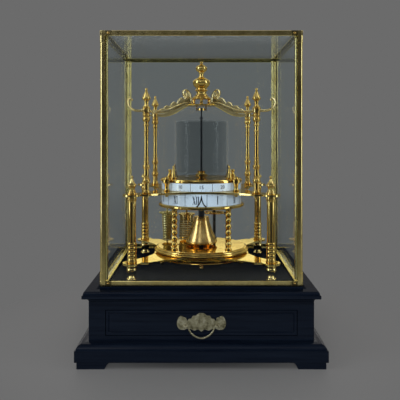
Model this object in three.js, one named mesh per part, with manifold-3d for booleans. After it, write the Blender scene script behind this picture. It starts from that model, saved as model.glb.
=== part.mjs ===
// A revolving-band table clock: a brass skeleton movement under a glazed brass cover, on an ebonised
// base with a drawer. Millimetres, +Z up, front towards -Y, origin at the bottom centre of the base.
// The minute band and the hour band turn past a fixed pointer, and a pendulum hangs through them.

import * as THREE from "three";
import { mergeVertices } from "three/addons/utils/BufferGeometryUtils.js";
import Module from "manifold-3d";

// Gaps and overruns used all over the clock
const seatGap = 0.3; // between two pieces that rest on or against each other
const runGap = 0.4; // between a turning piece and what guides it
const bandGap = 0.9; // between a revolving band and the spigot that centres it
const overrun = 2; // how far a cutter passes the faces that it cuts
const rootSink = 0.6; // how deep a fused detail sinks into the piece that carries it

// Wooden base: plinth, case and top board
const footHeight = 11;
const footInset = 7;
const footTopLength = 51;
const footToeLength = 41;
const footThickness = 20;
const plinthBandHeight = 18;
const plinthMouldHeight = 9.6;
const plinthMouldRun = 14;
const caseHalf = 177;
const plinthStep = 19;
const plinthSeat = 11;
const ovoloPoints = 5;
const caseHeight = 61.4;
const caseWall = 14;
const caseFloor = 7.4;
const caseRoof = 8;
const boardHeight = 17;
const boardLipRun = 9.5;
const boardTopRun = 6;
const sealHeight = 3;
const sealWidth = 9;

// Drawer and its bail pull
const drawerStile = 27;
const drawerFrontHeight = 39;
const drawerFrontThickness = 16;
const drawerClearance = 1;
const drawerBackRoom = 17.7;
const drawerSide = 8;
const drawerBottom = 4;
const drawerSideGap = 2;
const drawerTrayHeight = 36;
const fieldMargin = 4;
const fieldGroove = 2;
const fieldDepth = 1.2;
const pullPlateWidth = 77;
const pullPlateHeight = 31;
const pullPlateThickness = 2.5;
const bailHalfSpan = 21.2;
const bailDrop = 21;
const bowSquareShare = 0.7;
const bailWire = 3;
const bailEyeRadius = 3.6;
const bailEyeLength = 5.5;
const bailPinLength = 6.5;
const bailPinRadius = 1.1;
const bailStandOff = 6;

// Glazed cover
const coverHalf = 162.3;
const coverHeight = 409;
const railWidth = 8.6;
const railWall = 1.5;
const paneThickness = 3;
const cornerBlockLength = 22;
const cornerBlockWall = 2.2;

// Clock frame: two concave plates, four lower and four upper columns
const columnX = 117;
const columnY = 113;
const lobeRadius = 15.5;
const plateSideRadius = 128;
const plateFrontTangent = 77;
const plateSideTangent = 80;
const footTurningHeight = 27;
const footTurningRadius = 9;
const plateThickness = 3.5;
const lowerColumnHeight = 111.2;
const lowerColumnRadius = 8.8;
const plateFinialHeight = 31.5;
const plateFinialRadius = 8.4;
const upperColumnInset = 94.5;
const upperColumnHeight = 180.5;
const upperColumnRadius = 7.8;
const underNutRadius = 5;
const underNutHeight = 7;

// Crown over the pendulum, and the four scroll arms that carry it
const armEyeHeight = 6;
const armEyeRadius = 7;
const armStudRadius = 3.2;
const armStudRise = 138;
const armThickness = 5;
const armScrollThickness = 3.6;
const crownRise = 154.5;
const crownPlateRadius = 29;
const crownPlateThickness = 3;
const crownWindow = 10;
const crownCapRadius = 17;
const crownCapThickness = 5;
const crownStemRadius = 2.6;
const crownPillarRadius = 2.4;
const crownPillarOrbit = 14;
const crownFinialRadius = 16.3;
const crownFinialHeight = 65.3;

// Drum with its two revolving bands
const bandRadius = 75;
const bandWall = 2.5;
const hourBandHeight = 22.4;
const minuteBandHeight = 14.2;
const drumFloorRadius = 79.8;
const drumFloorThickness = 5.2;
const drumFloorHole = 12;
const spigotHeight = 3.5;
const spigotWall = 2;
const drumTopRadius = 76;
const drumTopThickness = 5.7;
const drumTopHole = 5.8;
const postX = 62;
const postY = 53;
const postRadius = 5.8;
const earRadius = 8;
const postNutRadius = 4.6;
const frontNutHeight = 5;
const rearNutHeight = 13;
const coronetRadius = 11;
const coronetHeight = 12.5;
const coronetNotch = 2.2;
const notchInnerRadius = 8.6;
const chimneyRadius = 50.5;
const chimneyWall = 2.4;
const chimneyHeight = 105.7;
const clipX = 51;
const clipY = 27;
const clipRadius = 5.9;
const clipHeight = 23.5;
const pointerHeight = 20.5;
const pointerHalf = 9;
const pointerThickness = 1.4;
const pointerInset = 2;
const pointerLimb = 1.7;

// Round base under the drum, with its pillars and acorn pendants
const roundBaseRadius = 88;
const roundBaseHeight = 9.2;
const pendantRingRadius = 88;
const pendantRingBore = 62;
const pendantRingHeight = 7.7;
const pendantOrbit = 81.5;
const pendantRadius = 4.2;
const pendantHeight = 10;
const pendantCount = 6;
const pillarX = 48;
const pillarY = 57;
const rearPillarY = 73;
const pillarRadius = 5.6;

// Movement: barrel and line, fusee, and the arbors that turn the bands
const barrelX = -29;
const barrelY = 46;
const barrelRadius = 13.2;
const barrelFlangeRadius = 16.4;
const barrelFlange = 2.2;
const barrelFoot = 2;
const barrelLength = 50;
const lineDiameter = 2.4;
const linePitch = 4.2;
const lineTurns = 8;
const lineStart = 5;
const fuseeX = -66;
const fuseeY = 29;
const fuseeSmallRadius = 8;
const fuseeLargeRadius = 11;
const fuseeLength = 50;
const fuseeFoot = 3;
const fuseeGrooves = 11;
const fuseeGrooveDepth = 1.3;
const fuseeWrap = 0.7;
const arborRadius = 1.8;
const pivotRadius = 1.2;
const pivotLength = 1.4;
const steelArborRadius = 2.9;
const arborCollarRadius = 4.6;
const arborCollarHeight = 6;
const wheelThickness = 2;
const greatWheelTeeth = 28;
const greatWheelModule = 1.05;
const firstPinionTeeth = 8;
const firstPinionAngle = 0.79;
const ringTeeth = 72;
const bandPinionTeeth = 12;
const mostPinionTeeth = 16;
const ringModule = 1.933;
const ringFace = 4;
const bandArborAngle = 1.12;
const bandWheelTeeth = 54;
const bandWheelModule = 0.8;
const bandWheelDrop = 21.5;
const thirdPinionTeeth = 9;
const thirdPinionAngle = -0.35;
const pinionFace = 6;

// Pendulum on its gimbal
const gimbalDrop = 6;
const gimbalRadius = 6.4;
const gimbalBore = 4.4;
const gimbalHeight = 4;
const gimbalPinRadius = 0.9;
const gimbalPinHole = 1.5;
const gimbalLugGap = 1.2;
const gimbalLugThickness = 2;
const gimbalLugWidth = 5;
const gimbalLugTail = 3;
const rodRadius = 2;
const rodHeadRadius = 2.8;
const rodHeadHeight = 5;
const rodNutDrop = 14;
const rodNutRadius = 3.2;
const rodNutHeight = 4;
const bobRadius = 29.5;
const bobHeight = 48.5;
const bobClearance = 4.3;
const bobRecess = 4;
const bobCollarRadius = 5.6;
const bobCollarHeight = 15;
const ratingNutRadius = 4.2;
const ratingNutHeight = 3;

// Shares of a tooth pitch: half a pinion's tooth at its root and tip, and where a wheel's gap is
// deepest. Then the height and depth of a tooth in modules.
const pinionRootShare = 0.24;
const pinionTipShare = 0.06;
const wheelGapShare = 0.5;
const addendumShare = 0.8;
const dedendumShare = 1.25;

// Facets round a turning of each size
const fineFacets = 24;
const roundFacets = 14;
const turningFacets = 9;
const slimFacets = 8;
const pinFacets = 6;

// Half widths and heights that follow from the case and its drawer
const plinthHalf = caseHalf + plinthStep;
const drawerFrontHalf = caseHalf - drawerStile;
const fieldHalf = drawerFrontHalf - fieldMargin;
const fieldHeight = drawerFrontHeight - 2 * fieldMargin;

// Levels, from the floor up
const plinthBottom = footHeight;
const plinthBandTop = plinthBottom + plinthBandHeight;
const plinthTop = plinthBandTop + plinthMouldHeight;
const caseTop = plinthTop + caseHeight;
const deckTop = caseTop + boardHeight;
const coverBottom = deckTop + sealHeight;
const coverTop = coverBottom + coverHeight;
const lowerPlateBottom = deckTop + footTurningHeight;
const lowerPlateTop = lowerPlateBottom + plateThickness;
const midPlateBottom = lowerPlateTop + lowerColumnHeight;
const midPlateTop = midPlateBottom + plateThickness;
const roundBaseTop = lowerPlateTop + seatGap + roundBaseHeight;
const hourBandTop = midPlateBottom - seatGap;
const hourBandBottom = hourBandTop - hourBandHeight;
const drumFloorTop = hourBandBottom - seatGap;
const drumFloorBottom = drumFloorTop - drumFloorThickness;
const minuteBandBottom = midPlateTop + seatGap;
const minuteBandTop = minuteBandBottom + minuteBandHeight;
const drumTopBottom = minuteBandTop + seatGap;
const drumTopTop = drumTopBottom + drumTopThickness;
const crownBottom = midPlateTop + crownRise;
const crownPlateTop = crownBottom + crownPlateThickness;
const crownCapBottom = crownPlateTop + crownWindow;
const crownTop = crownCapBottom + crownCapThickness;
const gimbalZ = crownBottom - gimbalDrop;
const bobBottom = roundBaseTop + bobClearance;
const bobTop = bobBottom + bobHeight;

const wasm = await Module();
wasm.setup();
const clock = new THREE.Group();
const quarterTurn = Math.PI / 2;

// Solids and booleans

// A closed geometry as a manifold solid, turned right side out if its faces point inwards.
function solid(geometry) {
  const bare = geometry.clone();
  bare.deleteAttribute("normal");
  bare.deleteAttribute("uv");
  const merged = mergeVertices(bare, 1e-4);
  const vertProperties = new Float32Array(merged.attributes.position.array);
  const triVerts = new Uint32Array(merged.index.array);
  const made = new wasm.Manifold(new wasm.Mesh({ numProp: 3, vertProperties, triVerts }));
  if (made.volume() > 0) return made;
  triVerts.reverse();
  return new wasm.Manifold(new wasm.Mesh({ numProp: 3, vertProperties, triVerts }));
}

function geometryOf(made) {
  const mesh = made.getMesh();
  const positions = new Float32Array(mesh.numVert * 3);
  for (let i = 0; i < mesh.numVert; i++) {
    for (let k = 0; k < 3; k++) {
      positions[3 * i + k] = mesh.vertProperties[mesh.numProp * i + k];
    }
  }
  const geometry = new THREE.BufferGeometry();
  geometry.setAttribute("position", new THREE.BufferAttribute(positions, 3));
  geometry.setIndex(new THREE.BufferAttribute(new Uint32Array(mesh.triVerts), 1));
  return geometry;
}

function fuse(...geometries) {
  const joined = geometries.map(solid).reduce((all, next) => all.add(next));
  return geometryOf(joined);
}

function cut(geometry, ...cutters) {
  const left = cutters.map(solid).reduce((all, next) => all.subtract(next), solid(geometry));
  return geometryOf(left);
}

function meet(first, second) {
  return geometryOf(solid(first).intersect(solid(second)));
}

// Adds one finished piece as a named mesh with its own material.
function piece(name, geometry, finish) {
  const flat = geometry.index ? geometry.toNonIndexed() : geometry;
  flat.computeVertexNormals();
  const mesh = new THREE.Mesh(flat, new THREE.MeshStandardMaterial(finish));
  mesh.name = name;
  clock.add(mesh);
}

const brass = { color: 0xc9a24a, roughness: 0.22, metalness: 1 };
const agedBrass = { color: 0x9a8c5c, roughness: 0.4, metalness: 1 };
const ebonised = { color: 0x0b0f17, roughness: 0.18, metalness: 0 };
const bareWood = { color: 0x6b4a2a, roughness: 0.7, metalness: 0 };
const enamel = { color: 0xdfe9fa, roughness: 0.15, metalness: 0 };
const blackSteel = { color: 0x101114, roughness: 0.35, metalness: 1 };
const glass = { color: 0xc8d6dc, roughness: 0.02, metalness: 0, transparent: true, opacity: 0.2 };
const gutLine = { color: 0x8a6a30, roughness: 0.6, metalness: 0 };

// Basic forms, all standing on z = 0 unless a height is given

function box(xLow, xHigh, yLow, yHigh, zLow, zHigh) {
  const geometry = new THREE.BoxGeometry(xHigh - xLow, yHigh - yLow, zHigh - zLow);
  return geometry.translate((xLow + xHigh) / 2, (yLow + yHigh) / 2, (zLow + zHigh) / 2);
}

// A turning from [radius, height] points that start and end on the axis or close on themselves.
function turned(points, facets) {
  const profile = points.map(([r, z]) => new THREE.Vector2(r, z));
  return new THREE.LatheGeometry(profile, facets).rotateX(quarterTurn);
}

// A turning from a table of shares of its largest radius and of its height.
function turnedFrom(shares, radius, height, facets) {
  const outline = shares.map(([r, z]) => [r * radius, z * height]);
  return turned([[0, 0], ...outline, [0, height]], facets);
}

function disc(radius, zLow, zHigh, facets) {
  return turned([[0, zLow], [radius, zLow], [radius, zHigh], [0, zHigh]], facets);
}

function tube(outer, inner, zLow, zHigh, facets) {
  const profile = [[inner, zLow], [outer, zLow], [outer, zHigh], [inner, zHigh], [inner, zLow]];
  return turned(profile, facets);
}

// A square moulding: a four-sided turning whose radii are half widths.
function squareMoulding(points) {
  const corner = Math.SQRT2;
  const profile = points.map(([half, z]) => new THREE.Vector2(half * corner, z));
  const geometry = new THREE.LatheGeometry(profile, 4, quarterTurn / 2);
  return geometry.rotateX(quarterTurn);
}

// An outline drawn in the XZ plane, given a thickness that is centred on y = 0.
function upright(shape, thickness, curveSegments = 6) {
  const options = { depth: thickness, bevelEnabled: false, curveSegments };
  const geometry = new THREE.ExtrudeGeometry(shape, options);
  return geometry.translate(0, 0, -thickness / 2).rotateX(quarterTurn);
}

// An outline drawn in the XY plane, extruded from zLow to zHigh.
function flat(shape, zLow, zHigh, curveSegments = 6) {
  const options = { depth: zHigh - zLow, bevelEnabled: false, curveSegments };
  return new THREE.ExtrudeGeometry(shape, options).translate(0, 0, zLow);
}

// A cylinder lying along X or Y, from one end to the other.
function lyingX(radius, xLow, xHigh, y, z, facets) {
  const geometry = new THREE.CylinderGeometry(radius, radius, xHigh - xLow, facets);
  return geometry.rotateZ(quarterTurn).translate((xLow + xHigh) / 2, y, z);
}

function lyingY(radius, yLow, yHigh, x, z, facets) {
  const geometry = new THREE.CylinderGeometry(radius, radius, yHigh - yLow, facets);
  return geometry.translate(x, (yLow + yHigh) / 2, z);
}

// A strip of changing width along a smooth curve, as an outline in its own plane.
function ribbonShape(places, widths, steps) {
  const curve = new THREE.CatmullRomCurve3(places.map(([x, y]) => new THREE.Vector3(x, y, 0)));
  const left = [];
  const right = [];
  for (let i = 0; i <= steps; i++) {
    const at = curve.getPoint(i / steps);
    const along = curve.getTangent(i / steps);
    const share = (i / steps) * (widths.length - 1);
    const k = Math.min(Math.floor(share), widths.length - 2);
    const half = (widths[k] + (widths[k + 1] - widths[k]) * (share - k)) / 2;
    left.push(new THREE.Vector2(at.x - along.y * half, at.y + along.x * half));
    right.push(new THREE.Vector2(at.x + along.y * half, at.y - along.x * half));
  }
  return new THREE.Shape([...left, ...right.reverse()]);
}

// A spur gear outline with straight-flanked teeth. The first tooth points along +X. A wheel's teeth are
// pointed, and a pinion's have a flat tip and a flat root between them.
function gearPoints(teeth, module) {
  const pitch = (module * teeth) / 2;
  const root = pitch - dedendumShare * module;
  const tip = pitch + addendumShare * module;
  const step = (2 * Math.PI) / teeth;
  const rootHalf = pinionRootShare;
  const tipHalf = pinionTipShare;
  const pinion = [[root, -rootHalf], [tip, -tipHalf], [tip, tipHalf], [root, rootHalf]];
  const wheel = [[tip, 0], [root, wheelGapShare]];
  const points = [];
  for (let i = 0; i < teeth; i++) {
    for (const [radius, share] of teeth > mostPinionTeeth ? wheel : pinion) {
      const angle = (i + share) * step;
      points.push(new THREE.Vector2(radius * Math.cos(angle), radius * Math.sin(angle)));
    }
  }
  return points;
}

function gear(teeth, module, zLow, zHigh, turn) {
  return flat(new THREE.Shape(gearPoints(teeth, module)), zLow, zHigh).rotateZ(turn);
}

function circlePath(x, y, radius, facets) {
  const path = new THREE.Path();
  path.setFromPoints(
    Array.from({ length: facets }, (_, i) => {
      const angle = (2 * Math.PI * i) / facets;
      return new THREE.Vector2(x + radius * Math.cos(angle), y + radius * Math.sin(angle));
    }),
  );
  return path;
}

// Calls make(xSign, ySign, label) for the four corners of the clock.
function atCorners(make) {
  for (const [ySign, depth] of [[-1, "front"], [1, "rear"]]) {
    for (const [xSign, side] of [[-1, "left"], [1, "right"]]) {
      make(xSign, ySign, `${depth}_${side}`);
    }
  }
}

// Wooden base

function plinth() {
  const inner = caseHalf - plinthSeat;
  const fillet = plinthMouldRun / 6;
  const ovolo = Array.from({ length: ovoloPoints }, (_, i) => {
    const angle = (quarterTurn * i) / (ovoloPoints - 1);
    const run = plinthMouldRun - fillet;
    return [
      plinthHalf - fillet - run * (1 - Math.cos(angle)),
      plinthBandTop + plinthMouldHeight * Math.sin(angle),
    ];
  });
  const frame = squareMoulding([
    [inner, plinthBottom],
    [plinthHalf, plinthBottom],
    [plinthHalf, plinthBandTop],
    ...ovolo,
    [inner, plinthTop],
    [inner, plinthBottom],
  ]);
  const feet = [];
  const outer = plinthHalf - footInset;
  const leg = new THREE.Shape([
    new THREE.Vector2(outer, 0),
    new THREE.Vector2(outer, footHeight + rootSink),
    new THREE.Vector2(outer - footTopLength, footHeight + rootSink),
    new THREE.Vector2(outer - footToeLength, 0),
  ]);
  const along = upright(leg, 2 * footTopLength).translate(0, outer, 0);
  const across = along.clone().rotateZ(quarterTurn).scale(-1, 1, 1);
  const hollow = outer - footThickness;
  const cutter = box(
    hollow - footTopLength, hollow, hollow - footTopLength, hollow, -overrun, footHeight + overrun,
  );
  const corner = cut(meet(meet(along, across), cornerBlock(outer)), cutter);
  for (let i = 0; i < 4; i++) feet.push(corner.clone().rotateZ(quarterTurn * i));
  return fuse(frame, ...feet);
}

// The block of space that one bracket foot may fill.
function cornerBlock(outer) {
  const low = outer - footTopLength - overrun;
  return box(low, outer, low, outer, 0, footHeight + rootSink);
}

function woodenCase() {
  const body = box(-caseHalf, caseHalf, -caseHalf, caseHalf, plinthTop + seatGap, caseTop);
  const floor = plinthTop + caseFloor;
  const roof = caseTop - caseRoof;
  const inner = caseHalf - caseWall;
  const hollow = box(-inner, inner, -inner, inner, floor, roof);
  const mouth = drawerFrontHalf + drawerClearance;
  const mouthTop = floor + drawerFrontHeight + 2 * drawerClearance;
  const opening = box(-mouth, mouth, -caseHalf - overrun, -inner + overrun, floor, mouthTop);
  return cut(body, hollow, opening);
}

function topBoard() {
  const lip = caseHalf + boardLipRun;
  const edge = caseHalf + boardTopRun;
  const coveShares = [[0, 0], [0.25, 0.08], [0.55, 0.2], [1, 0.38]];
  const cove = coveShares.map(([run, rise]) => [
    caseHalf + run * boardLipRun,
    caseTop + seatGap + rise * (boardHeight - seatGap),
  ]);
  const lipTop = deckTop - boardHeight / 3;
  const edgeRun = lip - edge;
  return squareMoulding([
    [0, caseTop + seatGap],
    ...cove,
    [lip, lipTop],
    [lip - edgeRun / 2, lipTop],
    [lip - edgeRun / 2, lipTop + edgeRun / 2],
    [edge, deckTop],
    [coverHalf, deckTop],
    [coverHalf, coverBottom - seatGap],
    [coverHalf - sealWidth, coverBottom - seatGap],
    [coverHalf - sealWidth, deckTop],
    [0, deckTop],
  ]);
}

piece("plinth", plinth(), ebonised);
piece("base_case", woodenCase(), ebonised);
piece("top_board", topBoard(), ebonised);

// Drawer: a tray behind a fielded front, and the bail pull on it

const drawerZ = plinthTop + caseFloor + drawerClearance;
const drawerFaceY = -caseHalf;
const drawerBackY = drawerFaceY + drawerFrontThickness;
const trayHalf = drawerFrontHalf - drawerSideGap;
const fieldZ = drawerZ + drawerFrontHeight / 2;
const bailY = drawerFaceY - bailStandOff;
const bailZ = fieldZ - bailEyeRadius;

function drawerTray() {
  const low = plinthTop + caseFloor + seatGap;
  const high = low + drawerTrayHeight;
  const front = drawerBackY + seatGap;
  const back = caseHalf - caseWall - drawerBackRoom;
  const shell = box(-trayHalf, trayHalf, front, back, low, high);
  const inner = trayHalf - drawerSide;
  const hollow = box(
    -inner, inner, front + drawerSide, back - drawerSide, low + drawerBottom, high + overrun,
  );
  return cut(shell, hollow);
}

function drawerFront() {
  const board = box(
    -drawerFrontHalf, drawerFrontHalf, drawerFaceY, drawerBackY, drawerZ, drawerZ + drawerFrontHeight,
  );
  const frontCut = drawerFaceY - overrun;
  const outer = box(
    -fieldHalf, fieldHalf, frontCut, drawerFaceY + fieldDepth,
    fieldZ - fieldHeight / 2, fieldZ + fieldHeight / 2,
  );
  const inside = box(
    -fieldHalf + fieldGroove, fieldHalf - fieldGroove, frontCut - overrun,
    drawerFaceY + fieldDepth + overrun, fieldZ - fieldHeight / 2 + fieldGroove,
    fieldZ + fieldHeight / 2 - fieldGroove,
  );
  return cut(board, cut(outer, inside));
}

// Half of the cartouche outline as shares of half the plate's width and of its height.
const cartoucheShares = [
  [0, 0.52], [0.12, 0.5], [0.2, 0.41], [0.34, 0.39], [0.4, 0.25], [0.52, 0.22], [0.6, 0.05],
  [0.68, 0], [0.7, 0.16], [0.74, 0.34], [0.86, 0.36], [0.97, 0.2], [1, -0.02], [0.95, -0.25],
  [0.82, -0.37], [0.66, -0.36], [0.56, -0.28], [0.42, -0.33], [0.3, -0.4], [0.12, -0.36], [0, -0.48],
];

function pullPlate() {
  const half = cartoucheShares.map(([x, z]) => [x * (pullPlateWidth / 2), z * pullPlateHeight]);
  const mirrored = half.slice(1, -1).reverse().map(([x, z]) => [-x, z]);
  const outline = [...half, ...mirrored].map(([x, z]) => new THREE.Vector2(x, z));
  const plateY = drawerFaceY - seatGap - pullPlateThickness / 2;
  const plate = upright(new THREE.Shape(outline), pullPlateThickness).translate(0, plateY, fieldZ);
  const boss = new THREE.SphereGeometry(pullPlateHeight / 4, slimFacets, pinFacets);
  boss.scale(1, pullPlateThickness / pullPlateHeight, 1);
  boss.translate(0, drawerFaceY - seatGap - pullPlateThickness, fieldZ);
  let made = fuse(plate, boss);
  for (const side of [-1, 1]) {
    const eyeX = side * bailHalfSpan;
    const inner = eyeX - (side * bailEyeLength) / 2;
    const outer = eyeX + (side * bailEyeLength) / 2;
    const low = Math.min(inner, outer);
    const high = Math.max(inner, outer);
    const eye = lyingX(bailEyeRadius, low, high, bailY, bailZ, turningFacets);
    const stalkFront = bailY;
    const stalk = lyingY(
      bailEyeRadius * 0.8, stalkFront, plateY, eyeX, bailZ, turningFacets,
    );
    const holeRadius = bailPinRadius + runGap;
    const hole = lyingX(holeRadius, low - overrun, high + overrun, bailY, bailZ, pinFacets);
    made = cut(fuse(made, eye, stalk), hole);
  }
  return made;
}

// The bail: a bow of round wire between the eyes, whose ends turn out and run in them.
function bail() {
  const legX = bailHalfSpan - bailEyeLength / 2 - bailWire / 2 - runGap;
  const bowSteps = 10;
  const bow = [];
  for (let i = 0; i <= bowSteps; i++) {
    const angle = Math.PI * (i / bowSteps);
    const across = Math.sign(Math.cos(angle)) * Math.pow(Math.abs(Math.cos(angle)), bowSquareShare);
    bow.push(new THREE.Vector3(legX * across, 0, -bailDrop * Math.sin(angle)));
  }
  const wire = tubeAlong(new THREE.CatmullRomCurve3(bow), bailWire / 2, pinFacets, bowSteps);
  wire.translate(0, bailY, bailZ);
  const parts = [wire];
  for (const side of [-1, 1]) {
    const knuckle = new THREE.SphereGeometry(bailWire / 2, pinFacets, pinFacets);
    parts.push(knuckle.translate(side * legX, bailY, bailZ));
    const outer = bailHalfSpan - bailEyeLength / 2 + bailPinLength;
    const low = Math.min(side * outer, side * legX);
    const high = Math.max(side * outer, side * legX);
    parts.push(lyingX(bailPinRadius, low, high, bailY, bailZ, pinFacets));
  }
  return fuse(...parts);
}

// A round tube along a curve, closed at both ends.
function tubeAlong(curve, radius, sides, steps) {
  const section = new THREE.Shape(circlePath(0, 0, radius, sides).getPoints());
  return new THREE.ExtrudeGeometry(section, { steps, bevelEnabled: false, extrudePath: curve });
}

// A curve that runs through a list of points in straight steps of even count.
class PointCurve extends THREE.Curve {
  constructor(points) {
    super();
    this.points = points;
  }

  getPoint(share) {
    const reach = share * (this.points.length - 1);
    const low = Math.min(Math.floor(reach), this.points.length - 2);
    return this.points[low].clone().lerp(this.points[low + 1], reach - low);
  }

  getSpacedPoints() {
    return this.points.map((point) => point.clone());
  }

  getTangentAt(share) {
    return this.getTangent(share);
  }
}

piece("drawer_tray", drawerTray(), bareWood);
piece("drawer_front", drawerFront(), ebonised);
piece("pull_plate", pullPlate(), agedBrass);
piece("bail", bail(), agedBrass);

// Glazed cover: two square frames of brass angle, four corner posts and five panes

const coverLow = coverBottom;
const postLow = coverLow + railWidth + cornerBlockLength;
const postHigh = coverTop - railWidth - cornerBlockLength;

// An L section that follows the corner at +X +Y, between two heights.
function cornerAngle(width, wall, zLow, zHigh) {
  const outside = box(
    coverHalf - width, coverHalf, coverHalf - width, coverHalf, zLow, zHigh,
  );
  const inside = box(
    coverHalf - width - overrun, coverHalf - wall, coverHalf - width - overrun, coverHalf - wall,
    zLow - overrun, zHigh + overrun,
  );
  return cut(outside, inside);
}

function coverFrame(edgeZ, direction) {
  const legZ = edgeZ + direction * railWidth;
  const lipZ = edgeZ + direction * railWall;
  const ring = squareMoulding([
    [coverHalf, edgeZ],
    [coverHalf, legZ],
    [coverHalf - railWall, legZ],
    [coverHalf - railWall, lipZ],
    [coverHalf - railWidth, lipZ],
    [coverHalf - railWidth, edgeZ],
    [coverHalf, edgeZ],
  ]);
  const blockEnd = legZ + direction * cornerBlockLength;
  const low = Math.min(legZ - direction * rootSink, blockEnd);
  const high = Math.max(legZ - direction * rootSink, blockEnd);
  const blocks = [];
  for (let i = 0; i < 4; i++) {
    blocks.push(cornerAngle(railWidth, railWall, low, high).rotateZ(quarterTurn * i));
  }
  return fuse(ring, ...blocks);
}

piece("cover_bottom_frame", coverFrame(coverLow, 1), brass);
piece("cover_top_frame", coverFrame(coverTop, -1), brass);
atCorners((xSign, ySign, label) => {
  const turn = Math.atan2(ySign, xSign) - quarterTurn / 2;
  const post = cornerAngle(railWidth, railWall, postLow + seatGap, postHigh - seatGap);
  piece(`cover_post_${label}`, post.rotateZ(turn), brass);
});

const paneOut = coverHalf - railWall - seatGap;
const paneIn = paneOut - paneThickness;
const paneLow = coverLow + railWall + seatGap;
const paneTop = coverTop - railWall - seatGap;
const paneHigh = paneTop - paneThickness - seatGap;
const sideReach = paneIn - seatGap;
piece("pane_front", box(-paneOut, paneOut, -paneOut, -paneIn, paneLow, paneHigh), glass);
piece("pane_rear", box(-paneOut, paneOut, paneIn, paneOut, paneLow, paneHigh), glass);
piece("pane_left", box(-paneOut, -paneIn, -sideReach, sideReach, paneLow, paneHigh), glass);
piece("pane_right", box(paneIn, paneOut, -sideReach, sideReach, paneLow, paneHigh), glass);
piece("pane_top", box(-paneOut, paneOut, -paneOut, paneOut, paneTop - paneThickness, paneTop), glass);

// Clock frame

const footTurningShares = [
  [0.95, 0], [1, 0.1], [0.6, 0.3], [0.93, 0.54], [1, 0.68], [0.82, 0.85], [0.9, 1],
];
const lowerColumnShares = [
  [1, 0], [1, 0.03], [0.8, 0.1], [0.9, 0.125], [0.79, 0.15], [0.9, 0.175], [0.79, 0.2],
  [0.89, 0.3], [0.78, 0.33], [0.78, 0.93], [0.98, 0.95], [0.9, 1],
];
const plateFinialShares = [
  [1, 0], [0.95, 0.06], [0.74, 0.1], [0.76, 0.3], [0.98, 0.38], [0.9, 0.47], [0.5, 0.66],
  [0.18, 0.85], [0.26, 0.93],
];
const upperColumnShares = [
  [0.9, 0], [0.62, 0.03], [0.62, 0.1], [0.85, 0.12], [0.57, 0.145], [0.52, 0.225],
  [0.82, 0.25], [0.5, 0.28], [0.47, 0.34], [0.47, 0.63], [0.68, 0.65], [0.52, 0.67], [0.85, 0.712],
  [0.62, 0.73],
];
const upperFinialShares = [
  [0.92, 0], [0.48, 0.16], [0.46, 0.38], [0.96, 0.5], [0.5, 0.74], [0.2, 0.87], [0.28, 0.94],
];

// The plan of both plates: a rectangle with a round lobe at each column and a bay on each side.
function platePlan(zLow, zHigh) {
  const slab = box(-columnX, columnX, -columnY, columnY, zLow, zHigh);
  const bays = [];
  const bay = disc(plateSideRadius, zLow - overrun, zHigh + overrun, 2 * fineFacets);
  for (const side of [-1, 1]) {
    bays.push(bay.clone().translate(0, side * (plateFrontTangent + plateSideRadius), 0));
    bays.push(bay.clone().translate(side * (plateSideTangent + plateSideRadius), 0, 0));
  }
  const lobes = [];
  atCorners((xSign, ySign) => {
    const lobe = disc(lobeRadius, zLow, zHigh, turningFacets);
    lobes.push(lobe.translate(xSign * columnX, ySign * columnY, 0));
  });
  return fuse(cut(slab, ...bays), ...lobes);
}

function lowerPlate() {
  const parts = [platePlan(lowerPlateBottom, lowerPlateTop)];
  atCorners((xSign, ySign) => {
    const height = footTurningHeight - seatGap + rootSink;
    const foot = turnedFrom(footTurningShares, footTurningRadius, height, slimFacets);
    parts.push(foot.translate(xSign * columnX, ySign * columnY, deckTop + seatGap));
  });
  return fuse(...parts);
}

function midPlate() {
  const bore = bandRadius - bandWall - spigotWall - bandGap;
  let made = cut(
    platePlan(midPlateBottom, midPlateTop),
    disc(bore, midPlateBottom - overrun, midPlateTop + overrun, fineFacets),
  );
  const spigotTop = midPlateTop + spigotHeight;
  const spigot = tube(bore + spigotWall, bore, midPlateTop - rootSink, spigotTop, fineFacets);
  const parts = [made, spigot];
  atCorners((xSign, ySign) => {
    const finial = turnedFrom(
      plateFinialShares, plateFinialRadius, plateFinialHeight + rootSink, pinFacets,
    );
    parts.push(finial.translate(xSign * columnX, ySign * columnY, midPlateTop - rootSink));
    const nut = turned([
      [0, -underNutHeight],
      [underNutRadius, -underNutHeight / 2],
      [underNutRadius, rootSink],
      [0, rootSink],
    ], pinFacets);
    const postNut = nut.clone().translate(xSign * postX, ySign * postY, midPlateBottom);
    parts.push(postNut);
    parts.push(nut.translate(xSign * upperColumnInset, ySign * upperColumnInset, midPlateBottom));
  });
  return fuse(...parts);
}

function lowerColumn() {
  const height = lowerColumnHeight - 2 * seatGap;
  return turnedFrom(lowerColumnShares, lowerColumnRadius, height, turningFacets);
}

// An upper column with its stud through the arm's eye and its finial above.
function upperColumn() {
  const height = upperColumnHeight - seatGap;
  const shaft = upperColumnShares.map(([r, z]) => [r * upperColumnRadius, z * height]);
  const eyeLow = armStudRise - seatGap;
  const eyeHigh = eyeLow + armEyeHeight + 2 * seatGap;
  const finial = upperFinialShares.map(([r, z]) => [
    r * upperColumnRadius,
    eyeHigh + z * (height - eyeHigh),
  ]);
  return turned([
    [0, 0],
    ...shaft,
    [upperColumnRadius * 0.75, eyeLow],
    [armStudRadius, eyeLow],
    [armStudRadius, eyeHigh],
    ...finial,
    [0, height],
  ], slimFacets);
}

piece("lower_plate", lowerPlate(), brass);
piece("mid_plate", midPlate(), brass);
atCorners((xSign, ySign, label) => {
  const lower = lowerColumn().translate(xSign * columnX, ySign * columnY, lowerPlateTop + seatGap);
  piece(`lower_column_${label}`, lower, brass);
  const inset = upperColumnInset;
  const upper = upperColumn().translate(xSign * inset, ySign * inset, midPlateTop + seatGap);
  piece(`upper_column_${label}`, upper, brass);
});

// Crown and scroll arms

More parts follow.
